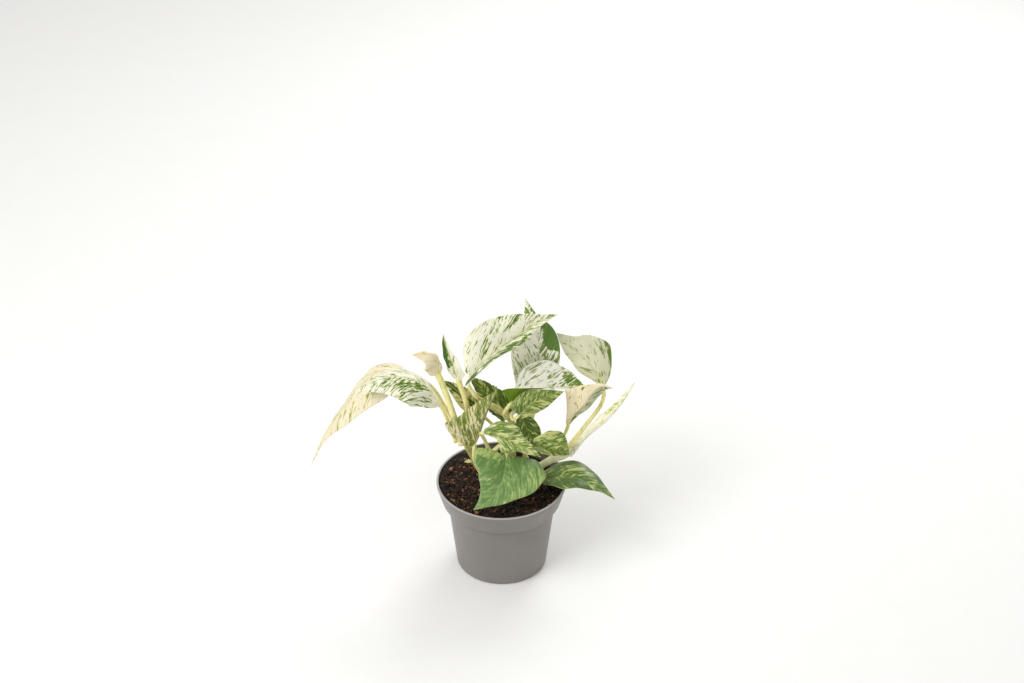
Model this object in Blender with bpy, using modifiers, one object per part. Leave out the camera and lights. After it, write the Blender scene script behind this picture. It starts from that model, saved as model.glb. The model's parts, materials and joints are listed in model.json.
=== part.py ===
"""Potted pothos: variegated leaves on rooted stems in a tapered plastic nursery pot.

World origin: centre of the pot's flat underside, +Z up, metres.
The plant's own points are millimetres from the middle of the soil's surface.
"""

import math

import bmesh
import bpy
import numpy as np

MM = 0.001

# Pot
RIM_RADIUS = 60.0 * MM
POT_HEIGHT = 90.7 * MM
BASE_RADIUS = 42.0 * MM
WALL = 1.2 * MM
FLOOR = 1.8 * MM
RIM_LIP = 0.7 * MM          # how much thicker the wall is at its top edge
RIM_LIP_HEIGHT = 3.0 * MM
COLLAR_HEIGHT = 19.3 * MM
COLLAR_TAPER = 4.9 * MM     # radius lost from the rim to the collar's foot
SHOULDER_HEIGHT = 6.5 * MM
SHOULDER_TAPER = 4.6 * MM
BODY_INSET = 1.2 * MM       # small step in under the shoulder
FOOT_ROUND = 2.5 * MM
FOOT_STEPS = 3              # straight parts in the foot's rounding
DRAIN_HOLES = 8
DRAIN_RADIUS = 3.0 * MM
DRAIN_RING = 0.72           # share of the base radius
DRAIN_SIDES = 16
POT_STEPS = 48
POT_ROUGHNESS = 0.45

# Soil
SOIL_BELOW_RIM = 6.7 * MM
SOIL_MOUND = 2.5 * MM       # rise of the middle over the soil's edge
MOUND_PROFILE = ((0.35, 0.1), (0.75, 0.5))   # share of the way out, share of the mound lost
SOIL_ROUGHNESS = 0.95
FIT_GAP = 0.3 * MM          # clearance between pieces that touch

# Plant
LEAF_THICKNESS = 0.5 * MM
LEAF_ROUGHNESS = 0.4
STALK_ROUGHNESS = 0.45
LEAF_COLUMNS = 3            # faces across each half of a blade
LEAF_ROWS = 10
STALK_STEP = 7.0 * MM       # distance between a stalk's rings
LOBE_FADE = 4               # how soon the foot's lobes end along the blade
LOBE_ROUND = 1.6            # how round they are across it
TIP_WIDTH = 0.4 * MM        # half the width of a blade at its tip
CURVE_SAMPLES = 24          # places on each span of a smooth route
STALK_TO_BLADE = 1.0 * MM   # gap between a stalk's end and its blade
LEAST_RINGS = 4             # rings on the shortest stalk
WELD_GAP = 0.01 * MM

SOIL_TOP = POT_HEIGHT - SOIL_BELOW_RIM


def half(widths, fold=0, reach=0):
    """One half of a blade: its widths in millimetres at even steps along the rib, from the
    stalk to just before the tip; the degrees it drops (positive) or rises, all along or at even
    steps; and the millimetres that its foot reaches back past the stalk."""
    folds = fold if isinstance(fold, tuple) else (fold, fold)
    return dict(widths=(*widths, 0), folds=folds, reach=reach)


# Blades: rib runs from the stalk to the tip in millimetres, up is the way the upper side
# faces, left and right are the halves as seen from the stalk, looking along the rib.
LEAVES = {
    "left_streaked": dict(
        rib=((-55, 15, 80), (-70, 14, 103), (-88, 12, 113), (-110, 10, 111), (-133, 8, 100)),
        up=(0, -0.1, 1), left=half((14, 24, 24, 19, 10), 42, -11), right=half((8, 23, 27, 24, 14), 24)),
    "left_long": dict(
        rib=((-83, 36, 95), (-106, 38, 103), (-127, 35, 90), (-144, 31, 67), (-163, 26, 39), (-177, 20, 8)),
        up=(-0.3, -0.1, 1), left=half((14, 27, 24, 14, 4), 25, 3), right=half((13, 23, 20, 12, 3), 22, 2)),
    "left_curled": dict(
        rib=((-57, 18, 111), (-57, 18, 122), (-61, 17, 131), (-69, 16, 135), (-80, 14, 135)),
        up=(0.5, -0.3, 1), left=half((8, 13, 14, 11, 6), 40), right=half((4, 4, 4, 3, 2), -10)),
    "left_unrolling": dict(
        rib=((-40, 24, 103), (-44, 24, 118), (-49, 25, 135), (-52, 25, 150)),
        up=(-0.7, -0.7, 0.1), left=half((4, 6, 6, 5, 3), -30), right=half((7, 15, 13, 9, 4), -10)),
    "top_cream": dict(
        rib=((-27, 12, 112), (-10, 24, 127), (8, 38, 134), (28, 50, 143), (51, 58, 150)),
        up=(0, -0.84, 0.55), left=half((8, 26, 28, 22, 9), 0),
        right=half((13, 19, 19, 17, 8), (-85, -75, -62, -60, -60), 12)),
    "top_upright": dict(
        rib=((31, 50, 78), (34, 53, 104), (33, 60, 126), (22, 73, 158)),
        up=(0, -0.9, 0.4), left=half((18, 24, 26, 21, 8), 12, 6), right=half((15, 19, 20, 16, 5), 12, 5)),
    "right_specked": dict(
        rib=((93, 38, 85), (89, 42, 93), (82, 47, 101), (73, 54, 108), (62, 60, 114), (51, 67, 124)),
        up=(0, -0.84, 0.55), left=half((3, 9, 13, 11, 6), 25), right=half((3, 17, 26, 20, 10), 5)),
    "right_pink": dict(
        rib=((61, 25, 50), (67, 24, 63), (75, 24, 73), (82, 24, 85), (90, 22, 95), (101, 20, 95)),
        up=(0, -0.84, 0.55), left=half((2, 8, 22, 14, 4), 5), right=half((2, 7, 10, 12, 9), 55)),
    "back_cream": dict(
        rib=((7, 14, 84), (20, 18, 86), (36, 28, 89), (54, 36, 85), (77, 42, 82)),
        up=(0, 0, 1), left=half((5, 16, 25, 24, 16), -50),
        right=half((16, 13, 5, 4, 3), (-85, -80, -20, 10, 10), 7)),
    "back_green": dict(
        rib=((16, 2, 77), (27, 9, 85), (41, 16, 88), (57, 22, 90)),
        up=(0, -0.84, 0.55), left=half((11, 13, 12, 8, 4), 0, 2), right=half((4, 9, 10, 9, 5), 10)),
    "low_round": dict(
        rib=((28, -4, 50), (38, -5, 47), (50, -6, 43), (62, -7, 40)),
        up=(0, 0, 1), left=half((5, 12, 17, 18, 15), -60), right=half((4, 8, 9, 7, 4), 5)),
    "middle_streaked": dict(
        rib=((-16, -4, 63), (-1, -6, 60), (12, -9, 54), (26, -12, 49), (36, -14, 42)),
        up=(0, 0, 1), left=half((3, 13, 15, 10, 4), -65), right=half((2, 4, 15, 7, 5), 20)),
    "middle_dark": dict(
        rib=((18, 12, 70), (22, 10, 60), (26, 9, 50), (32, 9, 37)),
        up=(0, -0.84, 0.55), left=half((5, 9, 11, 11, 8)), right=half((4, 9, 11, 10, 6))),
    "torn": dict(
        rib=((5, 30, 56), (-6, 34, 69), (-18, 37, 82), (-30, 39, 95)),
        up=(0, -0.84, 0.55), left=half((6, 9, 10, 7, 4), 0, 3), right=half((8, 13, 13, 10, 6), 0, 4)),
    "left_inner": dict(
        rib=((-20, 28, 64), (-31, 28, 76), (-42, 28, 88), (-53, 28, 98)),
        up=(0, -0.84, 0.55), left=half((5, 9, 9, 7, 4), 0, 3), right=half((5, 9, 9, 7, 4), 0, 3)),
    "left_olive": dict(
        rib=((-25, 4, 41), (-21, 3, 56), (-17, 4, 71), (-11, 6, 86), (-4, 8, 101)),
        up=(0, -0.84, 0.55), left=half((22, 32, 22, 14, 7), 5), right=half((3, 8, 10, 8, 5), 80)),
    "front_broad": dict(
        rib=((5, -7, 38), (3, -20, 34), (1, -32, 30), (-5, -44, 24), (-15, -52, 18), (-25, -56, 14)),
        up=(0.19, -0.46, 0.87), left=half((29, 39, 31, 16, 5), 0, 6), right=half((30, 29, 24, 19, 9), -8)),
    "front_right": dict(
        rib=((37, -10, 13), (52, -14, 19), (70, -19, 21), (88, -26, 15), (103, -32, 8)),
        up=(0, 0, 1), left=half((13, 23, 23, 17, 9), -5, 2), right=half((5, 12, 15, 9, 2), 5)),
    "bud": dict(
        rib=((-27, 32, 2), (-30, 30, 5), (-35, 28, 6)),
        up=(0, -0.3, 1), left=half((2, 3, 3, 2, 1), 10), right=half((2, 3, 3, 2, 1), 10)),
}

# Stems and leaf stalks: points in millimetres, then the radius at each end.
STEMS = {
    "left": dict(route=((-21, 27, -28), (-22, 26, 0), (-30, 23, 24), (-37, 20, 44)), radius=(3.2, 3.0)),
    "middle": dict(route=((10, 22, -28), (10, 21, 30), (9, 20, 58), (-3, 20, 71), (-15, 21, 78)),
                   radius=(3.2, 3.2)),
    "front": dict(route=((-8, 15, -28), (-8, 14, 8), (-9, 12, 30)), radius=(2.8, 2.6)),
    "right": dict(route=((24, 12, -28), (30, 13, 4), (45, 17, 16), (57, 19, 20), (64, 18, 27)),
                  radius=(3.0, 3.8)),
    "back": dict(route=((22, 34, -28), (22, 33, 10), (23, 31, 32)), radius=(2.6, 2.4)),
}
SPEAR = dict(route=((67, 15, 31), (75, 13, 45), (88, 10, 63), (105, 6, 86), (120, 4, 112)), radius=(3.4, 0.6))

STALKS = {
    "left_streaked": dict(route=((-43, 19, 40), (-47, 18, 54), (-52, 16, 70)), radius=(2.0, 1.4)),
    "left_long": dict(route=((-40, 26, 40), (-50, 34, 60), (-66, 44, 82)), radius=(2.0, 1.4)),
    "left_curled": dict(route=((-37, 13, 42), (-44, 14, 70), (-53, 17, 100)), radius=(3.2, 2.8)),
    "left_unrolling": dict(route=((-30, 21, 42), (-31, 20, 72), (-37, 23, 94)), radius=(2.4, 2.4)),
    "top_cream": dict(route=((-19, 17, 84), (-25, 13, 94), (-30, 10, 108)), radius=(2.2, 1.6)),
    "top_upright": dict(route=((24, 35, 38), (29, 41, 50), (32, 47, 68)), radius=(2.0, 1.6)),
    "right_specked": dict(route=((66, 23, 33), (80, 30, 50), (91, 36, 64), (94, 37, 76)), radius=(2.2, 1.8)),
    "right_pink": dict(route=((53, 24, 25), (57, 26, 36), (60, 26, 44)), radius=(1.8, 1.5)),
    "back_cream": dict(route=((4, 15, 68), (3, 12, 74)), radius=(2.0, 1.6)),
    "back_green": dict(route=((11, 17, 70), (9, 8, 73), (11, 0, 74)), radius=(1.8, 1.4)),
    "low_round": dict(route=((30, 8, 11), (24, 8, 24), (20, 3, 40)), radius=(1.8, 1.4)),
    "middle_streaked": dict(route=((-12, 10, 34), (-16, 7, 48), (-19, 1, 58)), radius=(1.8, 1.4)),
    "middle_dark": dict(route=((26, 28, 38), (26, 23, 58), (19, 14, 77)), radius=(1.8, 1.4)),
    "torn": dict(route=((12, 27, 38), (9, 29, 48)), radius=(1.8, 1.4)),
    "left_inner": dict(route=((4, 24, 34), (-6, 28, 46), (-15, 29, 56)), radius=(1.8, 1.4)),
    "left_olive": dict(route=((-16, 9, 1), (-21, 7, 13), (-25, 5, 27)), radius=(2.2, 1.8)),
    "front_broad": dict(route=((-6, 9, 33), (0, 7, 41), (5, 2, 41)), radius=(2.2, 1.6)),
    "front_right": dict(route=((33, 7, 4), (32, 0, 9), (33, -7, 11)), radius=(2.0, 1.5)),
}

LEAF_GREEN = (0.20, 0.34, 0.10, 1.0)
LEAF_CREAM = (0.72, 0.70, 0.50, 1.0)
STALK_YELLOW = (0.68, 0.64, 0.32, 1.0)
STEM_PALE = (0.62, 0.62, 0.40, 1.0)
SOIL_BROWN = (0.030, 0.016, 0.010, 1.0)
POT_GREY = (0.27, 0.25, 0.24, 1.0)
CREAM_LEAVES = ("left_long", "left_curled", "top_cream", "right_specked", "right_pink", "back_cream")


def clear_scene():
    for ob in list(bpy.data.objects):
        bpy.data.objects.remove(ob, do_unlink=True)


def new_collection(name):
    group = bpy.data.collections.new(name)
    bpy.context.scene.collection.children.link(group)
    return group


def finish(ob, group, colour, roughness):
    """Put an object in its collection with a material of its own."""
    group.objects.link(ob)
    material = bpy.data.materials.new(ob.name)
    material.use_nodes = True
    shader = material.node_tree.nodes["Principled BSDF"]
    shader.inputs["Base Color"].default_value = colour
    shader.inputs["Roughness"].default_value = roughness
    ob.data.materials.append(material)
    return ob


def smooth_route(points, count):
    """Evenly spaced places on a smooth curve through the points, with their tangents."""
    pts = np.array(points, float)
    ends = np.vstack([2 * pts[0] - pts[1], pts, 2 * pts[-1] - pts[-2]])
    t = np.linspace(0, 1, CURVE_SAMPLES, endpoint=False)[:, None]
    spans = []
    for a, b, c, d in zip(ends, ends[1:], ends[2:], ends[3:]):
        spans.append(0.5 * (2 * b + (c - a) * t + (2 * a - 5 * b + 4 * c - d) * t**2
                            + (3 * b - 3 * c + d - a) * t**3))
    fine = np.vstack(spans + [pts[-1:]])
    run = np.concatenate([[0], np.cumsum(np.linalg.norm(np.diff(fine, axis=0), axis=1))])
    even = np.linspace(0, run[-1], count)
    places = np.column_stack([np.interp(even, run, fine[:, k]) for k in range(3)])
    tangents = np.gradient(places, axis=0)
    return places, tangents / np.linalg.norm(tangents, axis=1)[:, None]


def from_soil(points):
    """Plant points, in millimetres from the soil's surface, as world metres."""
    return np.array(points, float) * MM + (0, 0, SOIL_TOP)


def read_even(values, share):
    """A value at a share along a smooth curve through evenly spaced values."""
    points = np.array(values, float)
    ends = np.concatenate([[2 * points[0] - points[1]], points, [2 * points[-1] - points[-2]]])
    place = share * (len(points) - 1)
    k = min(int(place), len(points) - 2)
    t = place - k
    a, b, c, d = ends[k:k + 4]
    return 0.5 * (2 * b + (c - a) * t + (2 * a - 5 * b + 4 * c - d) * t**2
                  + (3 * b - 3 * c + d - a) * t**3)


def blade_points(leaf):
    """Rows of points across the blade, from left edge to right edge."""
    ribs, tangents = smooth_route(from_soil(leaf["rib"]), LEAF_ROWS + 1)
    up = np.array(leaf["up"], float)
    rows = []
    for i, (rib, along) in enumerate(zip(ribs, tangents)):
        u = i / LEAF_ROWS
        normal = up - along * up.dot(along)
        normal /= np.linalg.norm(normal)
        right = np.cross(along, normal)
        row = {0: rib}
        for sign, part in ((-1, leaf["left"]), (1, leaf["right"])):
            bend = math.radians(read_even(part["folds"], u))
            out = max(read_even(part["widths"], u) * MM, TIP_WIDTH)
            back = part["reach"] * MM * (1 - u) ** LOBE_FADE
            across = sign * math.cos(bend) * right - math.sin(bend) * normal
            for k in range(1, LEAF_COLUMNS + 1):
                share = k / LEAF_COLUMNS
                row[sign * k] = rib + across * out * share - along * back * share**LOBE_ROUND
        rows.append([row[k] for k in range(-LEAF_COLUMNS, LEAF_COLUMNS + 1)])
    return rows


def make_blade(name, leaf, group):
    rows = blade_points(leaf)
    bm = bmesh.new()
    bmesh.ops.create_grid(bm, x_segments=2 * LEAF_COLUMNS, y_segments=LEAF_ROWS, size=1.0)
    for vert in bm.verts:
        column = round((vert.co.x + 1) * LEAF_COLUMNS)
        row = round((vert.co.y + 1) / 2 * LEAF_ROWS)
        vert.co = rows[row][column]
    mesh = bpy.data.meshes.new("leaf_" + name)
    bm.to_mesh(mesh)
    bm.free()
    mesh.shade_smooth()
    ob = bpy.data.objects.new("leaf_" + name, mesh)
    shell = ob.modifiers.new("thickness", "SOLIDIFY")
    shell.thickness = LEAF_THICKNESS
    shell.offset = 0.0
    colour = LEAF_CREAM if name in CREAM_LEAVES else LEAF_GREEN
    return finish(ob, group, colour, LEAF_ROUGHNESS)


def tube(name, places, radii):
    """A curve object with a round section and closed ends."""
    curve = bpy.data.curves.new(name, "CURVE")
    curve.dimensions = "3D"
    curve.bevel_depth = 1.0
    curve.bevel_resolution = 2
    curve.use_fill_caps = True
    spline = curve.splines.new("POLY")
    spline.points.add(len(places) - 1)
    for point, place, radius in zip(spline.points, places, radii):
        point.co = (*place, 1.0)
        point.radius = radius
    return bpy.data.objects.new(name, curve)


def stalk_tube(name, stalk, end=None, extra=0.0):
    """A tapered stalk along its route, to an end point short of what it carries."""
    points = list(from_soil(stalk["route"]))
    if end is not None:
        points.append(end)
    length = sum(np.linalg.norm(b - a) for a, b in zip(points, points[1:]))
    count = max(LEAST_RINGS, math.ceil(length / STALK_STEP) + 1)
    places, _ = smooth_route(points, count)
    first, last = (r * MM + extra for r in stalk["radius"])
    return tube(name, places, np.linspace(first, last, count))


def as_mesh(ob):
    """The same shape as a mesh object with welded caps; the curve is removed."""
    bpy.context.scene.collection.objects.link(ob)
    bpy.context.view_layer.update()
    seen = ob.evaluated_get(bpy.context.evaluated_depsgraph_get())
    mesh = bpy.data.meshes.new_from_object(seen)
    bm = bmesh.new()
    bm.from_mesh(mesh)
    bmesh.ops.remove_doubles(bm, verts=bm.verts, dist=WELD_GAP)
    bmesh.ops.recalc_face_normals(bm, faces=bm.faces)
    bm.to_mesh(mesh)
    bm.free()
    solid = bpy.data.objects.new(ob.name, mesh)
    solid.matrix_world = ob.matrix_world
    bpy.data.objects.remove(ob, do_unlink=True)
    return solid


def hide_cutter(ob, cutters):
    cutters.objects.link(ob)
    ob.hide_render = True
    ob.display_type = "WIRE"
    return ob


def cut(ob, cutter):
    step = ob.modifiers.new("cut_" + cutter.name, "BOOLEAN")
    step.operation = "DIFFERENCE"
    step.solver = "EXACT"
    step.object = cutter


def turned(name, profile, steps):
    """A solid of revolution; the profile runs down its outer side, at +X."""
    mesh = bpy.data.meshes.new(name)
    edges = [(i, i + 1) for i in range(len(profile) - 1)]
    mesh.from_pydata([(r, 0.0, z) for r, z in profile], edges, [])
    ob = bpy.data.objects.new(name, mesh)
    screw = ob.modifiers.new("turn", "SCREW")
    screw.steps = screw.render_steps = steps
    screw.use_merge_vertices = True
    screw.merge_threshold = WELD_GAP
    screw.use_smooth_shade = True
    return ob


def pot_outside():
    """Outer profile from the rim down to the underside."""
    collar_foot = POT_HEIGHT - COLLAR_HEIGHT
    shoulder_foot = collar_foot - SHOULDER_HEIGHT
    collar_radius = RIM_RADIUS - COLLAR_TAPER
    shoulder_radius = collar_radius - SHOULDER_TAPER
    body_radius = shoulder_radius - BODY_INSET
    points = [(RIM_RADIUS, POT_HEIGHT), (collar_radius, collar_foot),
              (shoulder_radius, shoulder_foot), (body_radius, shoulder_foot - BODY_INSET / 2),
              (BASE_RADIUS, 2 * FOOT_ROUND)]
    for k in range(1, FOOT_STEPS + 1):
        angle = math.radians(90 * k / FOOT_STEPS)
        points.append((BASE_RADIUS - FOOT_ROUND * (1 - math.cos(angle)),
                       FOOT_ROUND * (1 - math.sin(angle))))
    return points


def pot_inside_radius(z):
    """Radius of the inner wall at a height."""
    profile = pot_outside()[::-1]
    return float(np.interp(z, [p[1] for p in profile], [p[0] for p in profile])) - WALL


def inner_heights():
    """Heights where the inner wall bends, from the floor to under the rim's lip."""
    bends = [z for _, z in pot_outside()[1:5]][::-1]
    return [FLOOR + FOOT_ROUND] + bends[1:] + [POT_HEIGHT - RIM_LIP_HEIGHT]


def make_pot(group, cutters):
    inner_foot = pot_inside_radius(FLOOR + FOOT_ROUND)
    inside = [(0.0, FLOOR), (inner_foot - FOOT_ROUND, FLOOR)]
    inside += [(pot_inside_radius(z), z) for z in inner_heights()]
    inside.append((RIM_RADIUS - WALL - RIM_LIP, POT_HEIGHT))
    profile = pot_outside() + [(0.0, 0.0)] + inside
    pot = turned("pot", profile + [profile[0]], POT_STEPS)
    bm = bmesh.new()
    for k in range(DRAIN_HOLES):
        angle = 2 * math.pi * (k + 0.5) / DRAIN_HOLES
        made = bmesh.ops.create_cone(bm, cap_ends=True, segments=DRAIN_SIDES, radius1=DRAIN_RADIUS,
                                     radius2=DRAIN_RADIUS, depth=4 * FLOOR)["verts"]
        ring = BASE_RADIUS * DRAIN_RING
        bmesh.ops.translate(bm, verts=made, vec=(ring * math.cos(angle), ring * math.sin(angle), 0))
    mesh = bpy.data.meshes.new("drain_cutter")
    bm.to_mesh(mesh)
    bm.free()
    cut(pot, hide_cutter(bpy.data.objects.new("drain_cutter", mesh), cutters))
    return finish(pot, group, POT_GREY, POT_ROUGHNESS)


def make_soil(group, cutters):
    edge = SOIL_TOP - SOIL_MOUND
    foot = FLOOR + FIT_GAP
    reach = pot_inside_radius(edge) - FIT_GAP
    top = [(0.0, SOIL_TOP)]
    top += [(out * reach, SOIL_TOP - lost * SOIL_MOUND) for out, lost in MOUND_PROFILE]
    top.append((reach, edge))
    heights = [z for z in inner_heights()[::-1] if z < edge]
    wall = [(pot_inside_radius(z) - FIT_GAP, z) for z in heights]
    inner_foot = pot_inside_radius(FLOOR + FOOT_ROUND) - FIT_GAP
    bottom = [(inner_foot - FOOT_ROUND, foot), (0.0, foot)]
    soil = turned("soil", top + wall + bottom, POT_STEPS)
    for name, stem in STEMS.items():
        bore = as_mesh(stalk_tube("bore_" + name, stem, extra=FIT_GAP))
        cut(soil, hide_cutter(bore, cutters))
    return finish(soil, group, SOIL_BROWN, SOIL_ROUGHNESS)


def blade_foot(leaf):
    """Where a stalk stops, just short of the blade's sinus."""
    ribs, tangents = smooth_route(from_soil(leaf["rib"]), LEAF_ROWS + 1)
    return ribs[0] - STALK_TO_BLADE * tangents[0]


def build():
    clear_scene()
    group = new_collection("potted_pothos")
    cutters = new_collection("cutters")
    make_pot(group, cutters)
    make_soil(group, cutters)
    for name, leaf in LEAVES.items():
        make_blade(name, leaf, group)
    for name, stem in STEMS.items():
        finish(stalk_tube("stem_" + name, stem), group, STEM_PALE, STALK_ROUGHNESS)
    for name, stalk in STALKS.items():
        ob = stalk_tube("stalk_" + name, stalk, blade_foot(LEAVES[name]))
        finish(ob, group, STALK_YELLOW, STALK_ROUGHNESS)
    finish(stalk_tube("leaf_right_spear", SPEAR), group, LEAF_CREAM, STALK_ROUGHNESS)


build()
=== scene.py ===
"""Potted pothos: marbled leaves on pale stalks, rooted in dark soil in a grey nursery pot.

Lengths are metres in the part's own frame. The plant's tables are in millimetres, measured
from the middle of the soil's surface.
"""

import json
import math
import random

import bpy
import numpy as np
from bpy.props import FloatProperty, FloatVectorProperty, IntProperty, PointerProperty
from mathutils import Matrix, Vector, noise


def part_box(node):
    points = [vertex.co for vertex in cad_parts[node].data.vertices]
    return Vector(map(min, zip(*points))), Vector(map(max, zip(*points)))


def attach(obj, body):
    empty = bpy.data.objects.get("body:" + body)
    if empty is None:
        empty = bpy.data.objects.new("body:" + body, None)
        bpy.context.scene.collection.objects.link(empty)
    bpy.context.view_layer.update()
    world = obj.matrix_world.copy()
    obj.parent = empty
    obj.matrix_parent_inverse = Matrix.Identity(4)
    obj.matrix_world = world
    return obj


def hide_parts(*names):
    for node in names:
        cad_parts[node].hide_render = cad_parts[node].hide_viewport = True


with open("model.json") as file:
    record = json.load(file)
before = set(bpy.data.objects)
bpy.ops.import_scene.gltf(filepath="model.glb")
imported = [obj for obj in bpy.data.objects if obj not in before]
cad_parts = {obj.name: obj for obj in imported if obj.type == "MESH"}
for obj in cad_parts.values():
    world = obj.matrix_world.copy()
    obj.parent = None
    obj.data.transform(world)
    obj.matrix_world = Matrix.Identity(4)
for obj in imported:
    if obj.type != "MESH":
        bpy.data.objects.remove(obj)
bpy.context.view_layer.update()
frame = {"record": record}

bl_info = {
    "name": "Potted pothos",
    "version": (1, 0, 0),
    "blender": (4, 5, 0),
    "location": "3D View > Sidebar > Pothos",
    "description": "Builds a marbled pothos in its nursery pot around the packed parts",
    "category": "Add Mesh",
}

MM = 0.001
POT_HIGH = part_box("pot")[1]
SOIL_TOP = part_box("soil")[1].z


def srgb(red, green, blue):
    """A colour given by its display values from 0 to 255, as the linear values of shaders."""
    linear = []
    for value in (red, green, blue):
        share = value / 255
        linear.append(share / 12.92 if share <= 0.04045 else ((share + 0.055) / 1.055) ** 2.4)
    return (*linear, 1.0)


# ---------------------------------------------------------------------------- plant tables

def half(widths, fold=0, reach=0):
    """One half of a blade: its widths at even steps along the rib, from the stalk to just before
    the tip; the degrees it drops (positive) or rises, all along or at even steps; and how far its
    foot reaches back past the stalk."""
    folds = fold if isinstance(fold, tuple) else (fold, fold)
    return dict(widths=(*widths, 0), folds=folds, reach=reach)


def look(tones, left, right, right_tones=None, patches=0.12, contrast=2.4, net=0.0,
         stripe=0.0, spots=(), seed=0.0):
    """The marbling of one side of a blade: a palette, how green the left and right halves are, a
    palette of the right half's own, how far large patches and small streaks vary it, how strong
    the pale net is, how dark a stripe runs along the rib, its spots, each with its place and
    size as shares across and along and how much greener it is, and where in the noise it lies."""
    return dict(tones=tones, right_tones=right_tones or tones, left=left, right=right,
                patches=patches, contrast=contrast, net=net, stripe=stripe, spots=spots, seed=seed)


TO_FRONT = (0, -0.84, 0.55)   # the way most blades face, towards the front and up

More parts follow.
